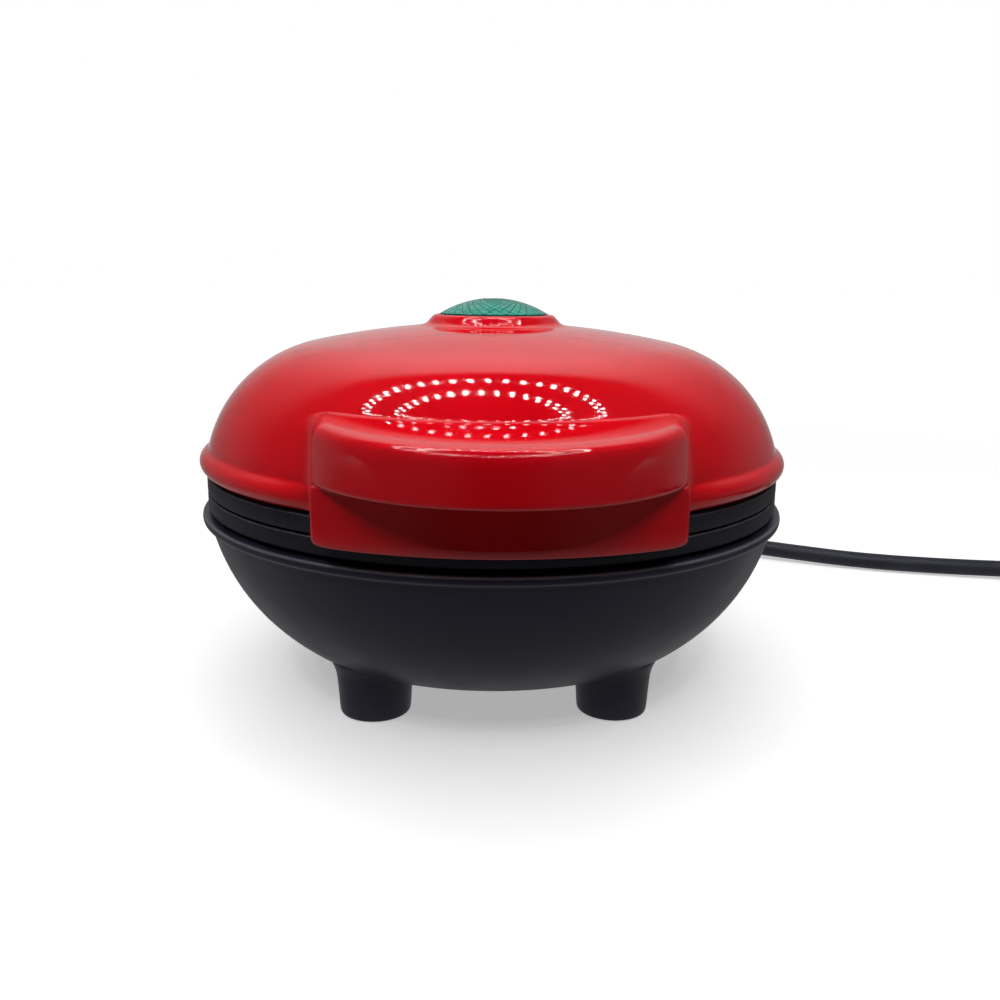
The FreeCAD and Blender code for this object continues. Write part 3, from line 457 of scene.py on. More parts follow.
# by column: the way the lip faces, where the top starts, where the apron runs and how far its edge rises
lipTurns = [cornerTurn * share for share in (0, 0.155, 0.31, 0.465, 0.62, 0.765, 0.895, 1.0)]
lipTurns += [mix(cornerTurn, 90, 0.5), 90.0]
topXs = [0.0, 4.5, 9.0, 13.3, 17.4, 21.2, 24.4, 26.5, 27.6, 28.3, 28.9, 29.5, 30.0, 32.1]
apronXs = [0.0, 5.05, 10.1, 15.05, 19.9, 24.4, 28.4, 31.2, 32.35, 32.5]
apronRise = [0.0, 0.0, 0.0, 0.0, 0.0, 0.0, 0.0, 0.1, 0.7, 1.7, 3.2]
# by step: how far the seam with the dome lies inside the handle's root
seamInsets = [2.5, 2.0, 1.5, 0.9, 0.4, 0.1, 0.0, 0.0, 0.0]
lowSeamAngles = {7: 25.3, 8: 19.6}
lidStep = 360.0 / lid["columns"]


def crownHeight(radius, depth=0.0):
    ball = lid["crownRadius"] - depth
    return lid["crownTop"] - lid["crownRadius"] + math.sqrt(ball ** 2 - radius ** 2)


def onShoulder(degrees, depth=0.0):
    return onArc(lid["shoulder"], lid["shoulderRadius"] - depth, degrees)


def lidOutline():
    # rows from the lens hole over the dome and bead to the rim, and back up inside
    rows = list(lid["collar"])
    rows += [(radius, crownHeight(radius)) for radius in (17.2, 20.0, 24.5, 29.5, 34.5)]
    rows += [onShoulder(a) for a in (lid["crownEnd"], 73.5, 68.5, 63.5, 58.5, 53.5, 48.2, 44.4, 42.2)]
    firstRow = len(rows)
    rows += [onShoulder(a) for a in (40.3, 38.6, 36.4, 33.8, 31.2, 28.5, 25.6, 22.5, 19.4)]
    rows += [(62.22, 54.9), (62.38, 54.0), (62.68, 53.5)]
    rows += arcRows(lid["bead"], lid["beadRadius"] * lid["beadDraw"], (58, 28, -2, -32, -62, -90))
    lastRow = len(rows) - 1
    rows += [(61.0, lid["rim"]), (60.25, 48.72), (lid["inner"], 50.2)]
    rows += [onShoulder(a, lid["wall"]) for a in (16.4, 37, 57.6, lid["crownEnd"])]
    rows += [(radius, crownHeight(radius, lid["wall"])) for radius in (26.0, 13.2, 12.3)]
    return rows, firstRow, lastRow


def topOfHandle(y):
    return handle["topHeight"] - handle["topFall"] * (-y - handle["topRoot"])


def roundDrop(inset):
    # how far the rounded top edge has fallen, by the distance inside the outline
    short = handle["edge"] - min(inset, handle["edge"])
    return handle["edge"] - math.sqrt(handle["edge"] ** 2 - short ** 2)


def lipPoint(column, inset):
    facing = math.radians(lipTurns[column])
    reach, middle = noseRadius, (0.0, noseMiddle)
    if column >= noseEnd:
        reach, middle = handle["corner"], (cornerX, cornerY)
    return middle[0] + (reach - inset) * math.sin(facing), middle[1] - (reach - inset) * math.cos(facing)


def sideAt(y):
    return mix(handle["side"], handle["root"], min(max((y - cornerY) / handle["flare"], 0.0), 1.0))


def ringFront(radius, x):
    return -math.sqrt(radius ** 2 - x ** 2)


def junction(x):
    # where the sloping top of the handle meets the dome
    angle = 42.0
    for _ in range(12):
        radius, height = onShoulder(angle)
        lift = (topOfHandle(ringFront(radius, x)) - height) / lid["shoulderRadius"]
        angle += math.degrees(lift) / math.cos(math.radians(angle))
    radius, height = onShoulder(angle)
    return Vector((x, ringFront(radius, x), height))


def shoulderAngle(height):
    return math.degrees(math.asin((height - lid["shoulder"][1]) / lid["shoulderRadius"]))


def seamPoint(step):
    # where the rounded side of the handle meets the dome, as a shoulder angle and a place
    x = handle["root"] - seamInsets[step]
    angle = lowSeamAngles.get(step, 38.0)
    for _ in range(0 if step in lowSeamAngles else 6):
        radius, height = onShoulder(angle)
        angle = shoulderAngle(topOfHandle(ringFront(radius, x)) - roundDrop(seamInsets[step]))
    radius, height = onShoulder(angle)
    return angle, Vector((x, ringFront(radius, x), height))


def handlePoint(step, column, dome):
    # steps run from the junction over the top, the lip and the apron to the lid's rim
    if step < topEnd:
        rear = junction(topXs[column])
        x, y = lipPoint(column, handle["edge"])
        share = (0.0, handle["topRow"] / (Vector((x, y)) - rear.xy).length, handle["topMiddle"])[step]
        spot = mix(rear, Vector((x, y, 0.0)), share)
        return rear if step == 0 else Vector((spot.x, spot.y, topOfHandle(spot.y)))
    if step < edgeEnd:
        inset, drop = handle["lipRound"][step - topEnd]
        x, y = lipPoint(column, inset)
        return Vector((x, y, topOfHandle(y) - drop))
    if step < lipFootEnd:
        inset, rise = handle["lipFoot"][step - edgeEnd]
        return Vector((*lipPoint(column, inset), handle["bottom"] + rise))
    low = handle["apronLow"] + apronRise[column]
    apronX = apronXs[column]
    if step < apronEnd:
        tuck = handle["apronTuck"] if column == lipEnd else 0.0
        under = Vector((apronX, ringFront(handle["apronRadius"], apronX) + tuck))
        if step == lipFootEnd:
            edge = Vector(lipPoint(column, handle["lipFoot"][-1][0]))
            under = mix(under, edge, min(handle["recess"] / max((edge - under).length, 0.1), 0.5))
        heights = [handle["bottom"] - drop for drop in handle["underDrops"]]
        heights += [low + rise for rise in handle["apronRows"]]
        return Vector((under.x, under.y, heights[step - lipFootEnd]))
    innerY = ringFront(handle["apronInner"], apronX)
    y = (innerY, innerY, mix(innerY, dome.y, handle["rimShare"]))[step - apronEnd]
    height = (low, min(low + handle["innerRise"], handle["innerHigh"]), lid["rim"])[step - apronEnd]
    return Vector((apronX, y, height))


def sidePoint(step, column, outer, dome):
    # the handle's side wall: one column is half way back, the next lies close to the dome
    near = column == sideNear
    if step == 0:
        return junction(topXs[column])
    if step < wallEnd:
        y = mix(dome.y, outer.y, sideWall["backShare"][near])
        if near:
            y = max(y, dome.y - sideWall["backMost"])
        if step == 1:
            y = dome.y - sideWall["row"][near]
        if step < edgeEnd:
            inset = mix(seamInsets[step], sideWall["insets"][step], sideWall["insetShare"][near])
            return Vector((sideAt(y) - inset, y, topOfHandle(y) - roundDrop(inset)))
        return Vector((sideAt(y), y, mix(outer.z, dome.z, sideWall["fallShare"][near])))
    inner = mix(outer, dome, min(sideWall["apronShare"], sideWall["apronGap"] / (dome - outer).length))
    if step > wallEnd:
        apronEdge = handle["apronLow"] + apronRise[-1]
        if step == wallEnd + 1:
            apronEdge += sideWall["apronRow"]
        inner.z = max(inner.z, min(apronEdge, dome.z))
    if near:
        inner = mix(dome, inner, min(0.5, sideWall["nearGap"] / max((inner - dome).length, 0.01)))
    return inner


def pulledAngle(column, radius, nearX):
    # columns are drawn towards the side walls of the handle and even out again round the dome
    pull = lidStep * freeColumn - math.degrees(math.asin(nearX / radius))
    return lidStep * column - pull * max(1 - (column - freeColumn) / lid["pullColumns"], 0.0) ** 2


def onRing(radius, degrees, height):
    angle = math.radians(degrees)
    return Vector((radius * math.sin(angle), -radius * math.cos(angle), height))


def crownPoint(column, radius, height, joinRadius):
    # above the handle the columns gather towards the places where its top meets the dome
    if column <= freeColumn:
        joinAngle = math.degrees(math.asin(topXs[column] / joinRadius))
    else:
        joinAngle = pulledAngle(column, joinRadius, topXs[freeColumn])
    share = smoothStep((radius - lid["gather"]) / (joinRadius - lid["gather"]))
    return onRing(radius, mix(lidStep * column, joinAngle, share), height)


def domePoint(step, column, radius, height, seamAngles):
    # beside the handle: the seam itself and the free dome beyond it
    nearX = handle["root"] + handle["domeGap"]
    inset = 0.0
    if step < len(seamAngles):
        share = smoothStep((column - seamColumn) / lid["seamColumns"])
        radius, height = onShoulder(mix(seamAngles[step], shoulderAngle(height), share))
        nearX = mix(topXs[freeColumn], nearX, smoothStep(step / lid["blendSteps"]))
        inset = seamInsets[step]
    if column > seamColumn:
        return onRing(radius, pulledAngle(column, radius, nearX), height)
    spot = onRing(radius, math.degrees(math.asin((handle["root"] - inset) / radius)), height)
    if step >= topEnd:
        spot += Vector((1, -1, 0)) * handle["band"] * min(step / lid["blendSteps"], 1)
    return spot


def makeLid():
    rows, firstRow, lastRow = lidOutline()
    seamAngles, seamPlaces = zip(*(seamPoint(step) for step in range(len(seamInsets))))
    bm = spinShell(rows, lid["columns"])
    rowOf = bm.verts.layers.int["row"]
    roundUp = 1 / (1 - (1 - math.cos(math.radians(lidStep))) / 3)  # the rounding pulls the skin in a little
    for vert in bm.verts:
        row = vert[rowOf]
        radius, height = rows[row]
        angle = math.degrees(math.atan2(vert.co.x, -vert.co.y))
        column = abs(round(angle / lidStep))
        side = -1 if angle < 0 else 1
        step = row - firstRow
        onSkirt = step < len(seamInsets)
        if not onSkirt and row <= lastRow and column <= freeColumn:  # the bead dies away beside the handle
            fade = lid["beadFade"][column == freeColumn]
            radius = mix(radius, min(radius, lid["bead"][0] + 0.1), fade)
        if row < firstRow:
            spot = crownPoint(column, radius, height, rows[firstRow][0])
        elif row > lastRow:
            spot = onRing(radius, lidStep * column, height)
        elif column >= seamColumn:
            spot = domePoint(step, column, radius, height, seamAngles)
        else:
            dome = Vector((handle["root"], ringFront(radius, handle["root"]), height))
            if onSkirt:
                dome = seamPlaces[step]
            spot = handlePoint(step, min(column, lipEnd), dome)
            if column > lipEnd:
                spot = sidePoint(step, column, spot, dome)
        vert.co = (side * spot.x * roundUp, spot.y * roundUp, spot.z)
    faceOutward(bm)
    return bm


redLid = addPiece("redLid", makeLid(), redGloss, "lid")
subdivide(redLid, 2)
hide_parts("upper_housing")

# hinge: the lid's knuckle turns between two ears of the bowl
hinge = dict(
    axis=(70.0, 43.5), knuckle=5.0, halfLength=13.5, earInner=14.0, earWidth=7.0, edge=0.9, crease=35,
    knuckleRoot=((60.7, 51.2), (60.7, 58.1)), earTop=(61.1, 39.9), earFoot=(58.7, 28.7),
)
knuckleOutline = [*hinge["knuckleRoot"], *arcRows(hinge["axis"], hinge["knuckle"], range(55, -201, -15))]
lidKnuckle = addPiece(
    "lidKnuckle", sideBlock(knuckleOutline, -hinge["halfLength"], hinge["halfLength"], hinge["edge"]),
    redGloss, "lid",
)
keepCreases(lidKnuckle, hinge["crease"])

# black bowl with its flanged rim and four legs
bowl = dict(
    columns=72, curve=(21.66, 45.94), curveRadius=42.06, corner=(42.9, 16.8), cornerRadius=6.0,
    cornerDraw=1.02, wall=2.2, floor=10.8, floorInside=13.0,
    rim=[
        (60.85, 39.6), (60.95, 40.15), (61.6, 40.2), (63.1, 40.2), (63.85, 40.17), (64.3, 40.0),
        (64.48, 39.6), (64.5, 38.85), (64.3, 38.42), (63.7, 38.2), (63.05, 38.0), (62.9, 37.3),
    ],
    # painted highlight on the rim's top and bottom edges, painted lighter as if they caught the light
    highlightRows={5: 1.0, 8: 0.8},  # top and bottom edges of the rim
)
leg = dict(
    x=25.0, y=28.4, columns=28,
    outline=[
        (0.0, 0.15), (4.0, 0.15), (6.6, 0.15), (7.3, 0.2), (7.5, 0.8), (7.7, 4.6), (8.0, 8.2), (8.3, 9.8),
        (8.9, 11.2), (9.6, 12.6), (9.0, 12.9), (5.0, 12.9), (0.0, 12.9),
    ],
)
bowlInner = bowl["curveRadius"] - bowl["wall"]
bowlOutline = bowl["rim"] + arcRows(
    bowl["curve"], bowl["curveRadius"], (-14, -19, -24, -29, -34, -39, -44, -49, -53.9),
)
bowlOutline += arcRows(bowl["corner"], bowl["cornerRadius"] * bowl["cornerDraw"], (-66, -78, -90))
bowlOutline += [(radius, bowl["floor"]) for radius in (40.0, 30.0, 15.0, 0.0)]
bowlOutline += [(radius, bowl["floorInside"]) for radius in (0.0, 20.0, 38.0, 42.9)]
bowlOutline += arcRows(bowl["curve"], bowlInner, (-53.9, -44, -34, -24, -16))
bowlMesh = spinShell(bowlOutline, bowl["columns"])
markHighlightRows(bowlMesh, bowl["highlightRows"])
for legX in (-leg["x"], leg["x"]):
    for legY in (-leg["y"], leg["y"]):
        legMesh = spinShell(leg["outline"], leg["columns"], closed=False)
        bmesh.ops.translate(legMesh, verts=legMesh.verts[:], vec=(legX, legY, 0))
        joinInto(bowlMesh, legMesh)
blackBowl = addPiece("blackBowl", bowlMesh, blackMoulding, "base")
subdivide(blackBowl, 2)
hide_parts("lower_housing")

# ears of the hinge and the round boss that holds the cord's boot
cordBoss = dict(height=17.3, radius=6.3, bore=4.65, root=46.0, end=61.0, columns=48)
earOutline = [hinge["earTop"]]
earOutline += arcRows(hinge["axis"], hinge["knuckle"], range(130, -51, -15))
earOutline += [hinge["earFoot"]]
fittings = bmesh.new()
for side in (-1, 1):
    earFrom = side * hinge["earInner"]
    earTo = side * (hinge["earInner"] + hinge["earWidth"])
    joinInto(fittings, sideBlock(earOutline, earFrom, earTo, hinge["edge"]))
bossRadius, bossEnd = cordBoss["radius"], cordBoss["end"]
bossMesh = spinShell([
    (cordBoss["bore"], cordBoss["root"]), (bossRadius, cordBoss["root"]), (bossRadius, bossEnd - 0.5),
    (bossRadius - 0.15, bossEnd - 0.15), (bossRadius - 0.5, bossEnd), (cordBoss["bore"], bossEnd),
], cordBoss["columns"])
pointBackward(bossMesh, (0, 0, cordBoss["height"]))
joinInto(fittings, bossMesh)
bowlFittings = addPiece("bowlFittings", fittings, blackMoulding, "base")
keepCreases(bowlFittings, hinge["crease"])

# ribbed boot of the cord
boot = dict(
    flange=6.1, neck=4.35, tip=3.25, face=61.0, flangeHeight=1.6, length=20.0, inner=12.0, columns=32, ribs=6,
    ribStart=1.0, ribPitch=3.0, ribSwell=0.15,
    ribShape=((0.75, -0.5), (0.75, 0.15), (0.0, 0.35), (0.0, 1.8), (0.1, 2.1)),  # depth and place along
)
bootOutline = [
    (0.0, -boot["inner"]), (3.6, -boot["inner"]), (boot["neck"], -boot["inner"] + 0.4), (boot["neck"], -0.3),
    (boot["neck"], 0.02), (boot["flange"] - 0.4, 0.02), (boot["flange"], 0.3), (boot["flange"], 1.2),
    (boot["flange"] - 0.4, boot["flangeHeight"]), (4.6, 1.65),
]
for rib in range(boot["ribs"]):
    ribFrom = boot["flangeHeight"] + boot["ribStart"] + rib * boot["ribPitch"]
    thick = mix(boot["neck"], boot["tip"] + boot["ribSwell"], rib / (boot["ribs"] - 1))
    bootOutline += [(thick - depth, ribFrom + along) for depth, along in boot["ribShape"]]
bootEnd = boot["flangeHeight"] + boot["length"]
bootOutline += [
    (boot["tip"], bootEnd - 1.0), (boot["tip"] - 0.05, bootEnd - 0.2), (boot["tip"] - 0.5, bootEnd),
    (0.0, bootEnd),
]
bootMesh = spinShell(bootOutline, boot["columns"], closed=False)
pointBackward(bootMesh, (0, boot["face"], cordBoss["height"]))
cordBoot = addPiece("cordBoot", bootMesh, cordSheath, "base")
subdivide(cordBoot, 1)
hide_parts("strain_relief")

# textured outer walls of the two cast plates, with a fine gap between them
plateWall = dict(
    # painted highlight on the top outer edge of each plate wall (row 5), painted lighter as if it caught the
    # light
    reach=63.1, inner=61.7, edge=0.28, edgeRound=0.3, columns=144, highlightRows={5: 0.45}, crease=60,
    walls=(("upperPlateWall", "lid", 44.86, 48.15), ("lowerPlateWall", "base", 41.1, 44.44)),
)
for wallName, body, wallLow, wallHigh in plateWall["walls"]:
    reach, edge = plateWall["reach"], plateWall["edge"]
    cut = edge * plateWall["edgeRound"]
    wallMesh = spinShell([
        (plateWall["inner"], wallLow), (reach - edge, wallLow), (reach - cut, wallLow + cut),
        (reach, wallLow + edge), (reach, wallHigh - edge), (reach - cut, wallHigh - cut),
        (reach - edge, wallHigh), (plateWall["inner"], wallHigh),
    ], plateWall["columns"])
    markHighlightRows(wallMesh, plateWall["highlightRows"])
    keepCreases(addPiece(wallName, wallMesh, castCoating, body), plateWall["crease"])

# jewel lens: a low dome whose skin is cut into diamonds by crossing spirals
jewel = dict(
    radius=11.95, base=81.55, top=84.85, foot=77.2, columns=32, rings=9, shrink=0.824, groove=0.11,
    stand=0.06, crease=3,
)
jewelRise = jewel["top"] - jewel["base"]
jewelBall = (jewel["radius"] ** 2 + jewelRise ** 2) / (2 * jewelRise)
jewelOutline = []
for ring in range(jewel["rings"], -1, -1):
    ringRadius = jewel["radius"] * jewel["shrink"] ** ring
    jewelOutline.append((ringRadius, jewel["top"] - jewelBall + math.sqrt(jewelBall ** 2 - ringRadius ** 2)))
jewelMesh = spinOutline(jewelOutline, jewel["columns"], closed=False)
gridEdges = [e for e in jewelMesh.edges if len(e.link_faces) == 2]
bmesh.ops.poke(jewelMesh, faces=jewelMesh.faces[:], offset=0.0, center_mode="MEAN")
bmesh.ops.dissolve_edges(jewelMesh, edges=gridEdges, use_verts=False)
faceOutward(jewelMesh)
if sum(f.normal.z for f in jewelMesh.faces) < 0:
    bmesh.ops.reverse_faces(jewelMesh, faces=jewelMesh.faces[:])
# the groove faces carry the mark for the painted shade in the grooves
grooveShadeLayer = jewelMesh.faces.layers.float.new("groove")
grooves = bmesh.ops.inset_individual(
    jewelMesh, faces=jewelMesh.faces[:], thickness=jewel["groove"], depth=jewel["stand"],
    use_even_offset=True,
)
for face in grooves["faces"]:
    face[grooveShadeLayer] = 1.0
openRims = openEdges(jewelMesh)
capHeight = jewel["top"] - 1
topRim = [e for e in openRims if e.verts[0].co.z > capHeight]
girdle = [e for e in openRims if e.verts[0].co.z < capHeight]
bmesh.ops.holes_fill(jewelMesh, edges=topRim, sides=0)
drawn = bmesh.ops.extrude_edge_only(jewelMesh, edges=girdle)
for vert in drawnVerts(drawn):
    vert.co.z = jewel["foot"]
bmesh.ops.holes_fill(jewelMesh, edges=openEdges(jewelMesh), sides=0)
mergeDoubles(jewelMesh)
faceOutward(jewelMesh)
jewelLens = addPiece("jewelLens", jewelMesh, greenLens, "lid")
keepCreases(jewelLens, jewel["crease"])
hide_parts("indicator_lens")

# moulded plug on the end of the cord, in sections of (share along, share of width, share of thickness)
plug = dict(corners=32, squareness=4, crease=40, sections=[
    (0.0, 0.40, 0.58), (0.02, 0.42, 0.62), (0.07, 0.44, 0.64), (0.10, 0.40, 0.58), (0.13, 0.46, 0.66),
    (0.16, 0.44, 0.62), (0.20, 0.52, 0.72), (0.28, 0.80, 0.90), (0.34, 0.96, 0.98), (0.42, 1.0, 1.0),
    (0.60, 0.97, 0.97), (0.78, 1.0, 1.0), (0.95, 1.0, 1.0), (0.985, 0.98, 0.98), (1.0, 0.93, 0.92),
])
plugLow, plugHigh = nodeBox("plug_body")
plugMiddle = (plugLow + plugHigh) / 2
plugHalf = (plugHigh - plugLow) / 2
plugMesh = bmesh.new()
bmesh.ops.create_circle(plugMesh, cap_ends=False, radius=1.0, segments=plug["corners"])
plugRing = plugMesh.verts[:]
plugShape = []
for vert in plugRing:  # squarish round section, standing across the cord
    power = plug["squareness"]
    square = (abs(vert.co.x) ** power + abs(vert.co.y) ** power) ** (-1 / power)
    plugShape.append(Vector((vert.co.x * square, 0.0, vert.co.y * square)))


def placeSection(verts, along, wide, thick):
    for vert, flat in zip(verts, plugShape):
        vert.co = (
            plugMiddle.x + flat.x * plugHalf.x * wide,
            plugHigh.y - 2 * plugHalf.y * along,
            plugMiddle.z + flat.z * plugHalf.z * thick,
        )


def placeKey(vert):
    return tuple(round(c, 4) for c in vert.co)


placeSection(plugRing, *plug["sections"][0])
ringEdges = plugMesh.edges[:]
for section in plug["sections"][1:]:
    order = {placeKey(vert): n for n, vert in enumerate(plugRing)}
    drawn = bmesh.ops.extrude_edge_only(plugMesh, edges=ringEdges)
    plugRing = drawnVerts(drawn)
    drawnEdges = [g for g in drawn["geom"] if isinstance(g, bmesh.types.BMEdge)]
    ringEdges = [e for e in drawnEdges if all(v in plugRing for v in e.verts)]
    plugRing.sort(key=lambda vert: order[placeKey(vert)])
    placeSection(plugRing, *section)
bmesh.ops.holes_fill(plugMesh, edges=openEdges(plugMesh), sides=0)
mergeDoubles(plugMesh)
faceOutward(plugMesh)
mouldedPlug = addPiece("mouldedPlug", plugMesh, cordSheath, "base")
keepCreases(mouldedPlug, plug["crease"])
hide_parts("plug_body")

# snug strap round the coil's turns, in the place of the flat tie, with its free end lapped on top
strap = dict(
    width=6.0, thickness=0.55, slack=0.1, corners=24, edge=0.16, sharp=1.2, merge=0.02, crease=40,
    lapWide=5.2, lapThick=0.5, lapRound=1.6, lapSink=0.08,
)
bareCurve = flexCurve.copy()
bareCurve.bevel_depth = 0
bareFlex = bpy.data.objects.new("bareFlex", bareCurve)
bareMesh = bpy.data.meshes.new_from_object(bareFlex)
linePoints = [toFrame.inverted() @ vert.co for vert in bareMesh.vertices]
bpy.data.objects.remove(bareFlex)
bpy.data.curves.remove(bareCurve)
bpy.data.meshes.remove(bareMesh)
tieLow, tieHigh = nodeBox("coil_tie")
tieMiddle = (tieLow.x + tieHigh.x) / 2
upperTurns = coil["level"] + coil["pitch"] * 0.8
sideways = Matrix.Rotation(math.radians(90), 4, "Y")
strapInner = flex["diameter"] * 500 + strap["slack"]
strapMesh = bmesh.new()
topTurns = []
for share in (-0.5, 0.0, 0.5):
    plane = tieMiddle + strap["width"] * share
    for a, b in zip(linePoints, linePoints[1:]):
        if (a.x - plane) * (b.x - plane) > 0 or not tieLow.y < a.y < tieHigh.y:
            continue
        crossing = a.lerp(b, (plane - a.x) / (b.x - a.x))
        if crossing.z > upperTurns:
            topTurns.append(crossing.y)
        for edgeShare in (-0.5, 0.5):
            crossing.x = tieMiddle + strap["width"] * edgeShare
            bmesh.ops.create_circle(
                strapMesh, cap_ends=False, segments=strap["corners"], radius=strapInner,
                matrix=Matrix.Translation(crossing) @ sideways,
            )
wrapped = bmesh.ops.convex_hull(strapMesh, input=strapMesh.verts[:], use_existing_faces=False)
loose = {g for g in wrapped["geom_interior"] + wrapped["geom_unused"] if isinstance(g, bmesh.types.BMVert)}
bmesh.ops.delete(strapMesh, geom=list(loose), context="VERTS")
strapEnds = [f for f in strapMesh.faces if abs(f.normal.x) > 0.9]
bmesh.ops.delete(strapMesh, geom=strapEnds, context="FACES")
bmesh.ops.remove_doubles(strapMesh, verts=strapMesh.verts[:], dist=strap["merge"])
faceOutward(strapMesh)
bmesh.ops.solidify(strapMesh, geom=strapMesh.faces[:], thickness=-strap["thickness"])
strapRims = [e for e in strapMesh.edges if len(e.link_faces) == 2 and e.calc_face_angle() > strap["sharp"]]
roundEdges(strapMesh, strapRims, strap["edge"], 2)
strapTop = max(v.co.z for v in strapMesh.verts)
lapLength = max(topTurns) - min(topTurns)
lapHeight = strapTop + strap["lapThick"] / 2 - strap["lapSink"]
lapPlace = Matrix.Translation((tieMiddle, (min(topTurns) + max(topTurns)) / 2, lapHeight))
lapSize = Matrix.Diagonal((strap["lapWide"], lapLength, strap["lapThick"], 1))
lapMesh = bmesh.new()
bmesh.ops.create_cube(lapMesh, matrix=lapPlace @ lapSize)
lapCorners = [e for e in lapMesh.edges if abs(e.verts[0].co.z - e.verts[1].co.z) > 0.1]
roundEdges(lapMesh, lapCorners, strap["lapRound"], 5)
lapRims = [e for e in lapMesh.edges if e.calc_face_angle() > strap["sharp"]]
roundEdges(lapMesh, lapRims, strap["edge"], 2)
faceOutward(lapMesh)
joinInto(strapMesh, lapMesh)
print("strap drawn round", len(topTurns), "crossings of the upper turns")
coilStrap = addPiece("coilStrap", strapMesh, tiePlastic, "base")
keepCreases(coilStrap, strap["crease"])
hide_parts("coil_tie")

# stage: pale floor, a white surround that is dim towards the camera, two rings of small lights above
stage = dict(
    near=-0.04, front=-0.20, far=6.0, wide=6.0, pale=0.92, rough=0.7, glowSpan=(0.12, 0.70),
    glow=(0.40, 0.90),
    mirror=((0.14, 0.34), (0.25, 0.09), (0.42, 0.12), (0.90, 0.40)),  # reach and glow, as the gloss sees it
    clearSpan=(-0.02, 0.14),  # from here back the gloss sees the surround through the floor
)
floorFinish, floorTree, floorShader = newFinish("paleFloor", (stage["pale"],) * 3, stage["rough"])
floorShader.inputs["Emission Color"].default_value = white
joinFloor = floorTree.links.new
floorPlace = floorTree.nodes.new("ShaderNodeTexCoord").outputs["Object"]
floorReach = addNode(floorTree, "ShaderNodeVectorMath", operation="LENGTH")
joinFloor(floorPlace, floorReach.inputs[0])
floorGlow = mapRange(floorTree, floorReach.outputs["Value"], stage["glowSpan"], stage["glow"])
joinFloor(floorGlow, floorShader.inputs["Emission Strength"])
mirrorRamp = floorTree.nodes.new("ShaderNodeValToRGB")
for reach, glow in stage["mirror"][2:]:
    mirrorRamp.color_ramp.elements.new(reach)
for element, (reach, glow) in zip(mirrorRamp.color_ramp.elements, stage["mirror"]):
    element.position = reach
    element.color = (glow, glow, glow, 1)
mirrorGlow = floorTree.nodes.new("ShaderNodeEmission")
joinFloor(floorReach.outputs["Value"], mirrorRamp.inputs["Fac"])
joinFloor(mirrorRamp.outputs["Color"], mirrorGlow.inputs["Strength"])
floorDepth = floorTree.nodes.new("ShaderNodeSeparateXYZ")
joinFloor(floorPlace, floorDepth.inputs["Vector"])
rearClear = mapRange(floorTree, floorDepth.outputs["Y"], stage["clearSpan"], (0.0, 1.0), smooth=True)
seeThrough = floorTree.nodes.new("ShaderNodeBsdfTransparent")
floorRay = floorTree.nodes.new("ShaderNodeLightPath")


def mixShaders(share, first, second):
    choice = floorTree.nodes.new("ShaderNodeMixShader")
    joinFloor(share, choice.inputs["Fac"])
    joinFloor(first, choice.inputs[1])
    joinFloor(second, choice.inputs[2])
    return choice.outputs["Shader"]


mirroredFloor = mixShaders(rearClear, mirrorGlow.outputs["Emission"], seeThrough.outputs["BSDF"])
floorLook = mixShaders(floorRay.outputs["Is Glossy Ray"], floorShader.outputs["BSDF"], mirroredFloor)
joinFloor(floorLook, floorTree.nodes["Material Output"].inputs["Surface"])


def layFloor(name, fromY, toY, diffuse=True, glossy=True, transmission=True):
    bm = bmesh.new()
    bmesh.ops.create_grid(bm, x_segments=1, y_segments=1, size=1.0)
    bmesh.ops.scale(bm, vec=(stage["wide"], (toY - fromY) / 2, 1), verts=bm.verts[:])
    bmesh.ops.translate(bm, vec=(0, (fromY + toY) / 2, 0), verts=bm.verts[:])
    floor = linkMesh(name, bm, floorFinish)
    floor.visible_diffuse = diffuse
    floor.visible_glossy = glossy
    floor.visible_transmission = transmission


layFloor("floor", stage["near"], stage["far"])
layFloor("mirrorFloor", stage["front"], stage["near"], diffuse=False, transmission=False)
layFloor("frontFloor", -stage["far"], stage["front"], diffuse=False, glossy=False, transmission=False)

surround = dict(
    rearWay=(0.0, 0.866, -0.5), softEdge=0.05, softSides=0.40, riseSpan=(0.35, 0.80), rearGlow=(0.55, 1.20),
    fallSpan=(0.12, 0.65), sideFall=(1.0, 0.38), sideSpan=(0.15, 0.60), sideGlow=(0.03, 0.10),
)
world = bpy.data.worlds.new("surround")
bpy.context.scene.world = world
world.use_nodes = True
sky = world.node_tree
backdrop = sky.nodes["Background"]
backdrop.inputs["Color"].default_value = white


def skyStep(source, fromSpan, toSpan):
    return mapRange(sky, source, fromSpan, toSpan, smooth=True)


def skyMath(operation, first, *others):
    step = addNode(sky, "ShaderNodeMath", operation=operation)
    sky.links.new(first, step.inputs[0])
    for socket, other in zip(step.inputs[1:], others):
        if isinstance(other, float):
            socket.default_value = other
        else:
            sky.links.new(other, socket)
    return step.outputs["Value"]


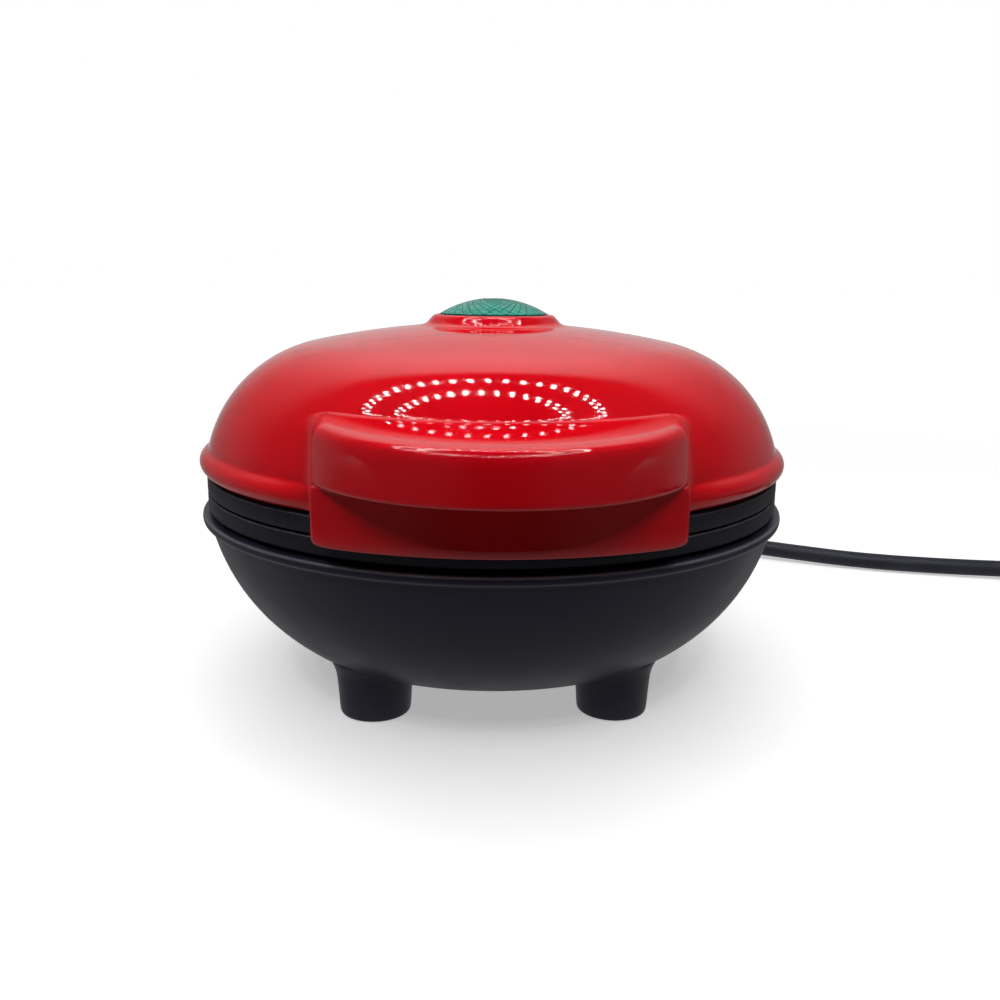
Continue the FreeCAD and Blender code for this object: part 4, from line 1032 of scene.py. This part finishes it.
skyWay = sky.nodes.new("ShaderNodeTexCoord").outputs["Generated"]
skyParts = sky.nodes.new("ShaderNodeSeparateXYZ")
sky.links.new(skyWay, skyParts.inputs["Vector"])
rearward = addNode(sky, "ShaderNodeVectorMath", operation="DOT_PRODUCT")
rearward.inputs[1].default_value = surround["rearWay"]
sky.links.new(skyWay, rearward.inputs[0])
sideShare = skyMath("MULTIPLY", skyParts.outputs["X"], skyParts.outputs["X"])
sideReach = skyMath("ABSOLUTE", skyParts.outputs["X"])
rearEdge = skyMath("MULTIPLY_ADD", sideShare, surround["softSides"], surround["softEdge"])
rearShare = skyStep(skyMath("DIVIDE", rearward.outputs["Value"], rearEdge), (-1.0, 1.0), (0.0, 1.0))
rearGlow = skyStep(skyParts.outputs["Z"], surround["riseSpan"], surround["rearGlow"])
rearFall = skyStep(sideReach, surround["fallSpan"], surround["sideFall"])
rearWall = skyMath("MULTIPLY", skyMath("MULTIPLY", rearShare, rearGlow), rearFall)
sideWalls = skyStep(sideReach, surround["sideSpan"], surround["sideGlow"])
skyRay = sky.nodes.new("ShaderNodeLightPath")
skyGlow = skyMath("MAXIMUM", skyMath("MAXIMUM", rearWall, sideWalls), skyRay.outputs["Is Camera Ray"])
sky.links.new(skyGlow, backdrop.inputs["Strength"])

ringLight = dict(
    height=0.37, middle=(-0.027, -0.172), dot=0.0031, corners=8, strength=110.0,
    rings=((0.241, 68), (0.229, 64), (0.169, 50), (0.157, 46)),  # radius and number of dots
)
dotGlow, _, dotShader = newFinish("dotGlow", (0, 0, 0), 1.0)
dotShader.inputs["Emission Color"].default_value = white
dotShader.inputs["Emission Strength"].default_value = ringLight["strength"]
dots = bmesh.new()
for ringRadius, count in ringLight["rings"]:
    for n in range(count):
        angle = 2 * math.pi * n / count
        spot = Vector((*ringLight["middle"], ringLight["height"]))
        spot += Vector((math.cos(angle), math.sin(angle), 0)) * ringRadius
        bmesh.ops.create_circle(
            dots, cap_ends=True, radius=ringLight["dot"], segments=ringLight["corners"],
            matrix=Matrix.Translation(spot),
        )
ringLamp = linkMesh("ringLight", dots, dotGlow)
ringLamp.visible_camera = False
bpy.context.scene.view_settings.view_transform = "Standard"
print("stage set")
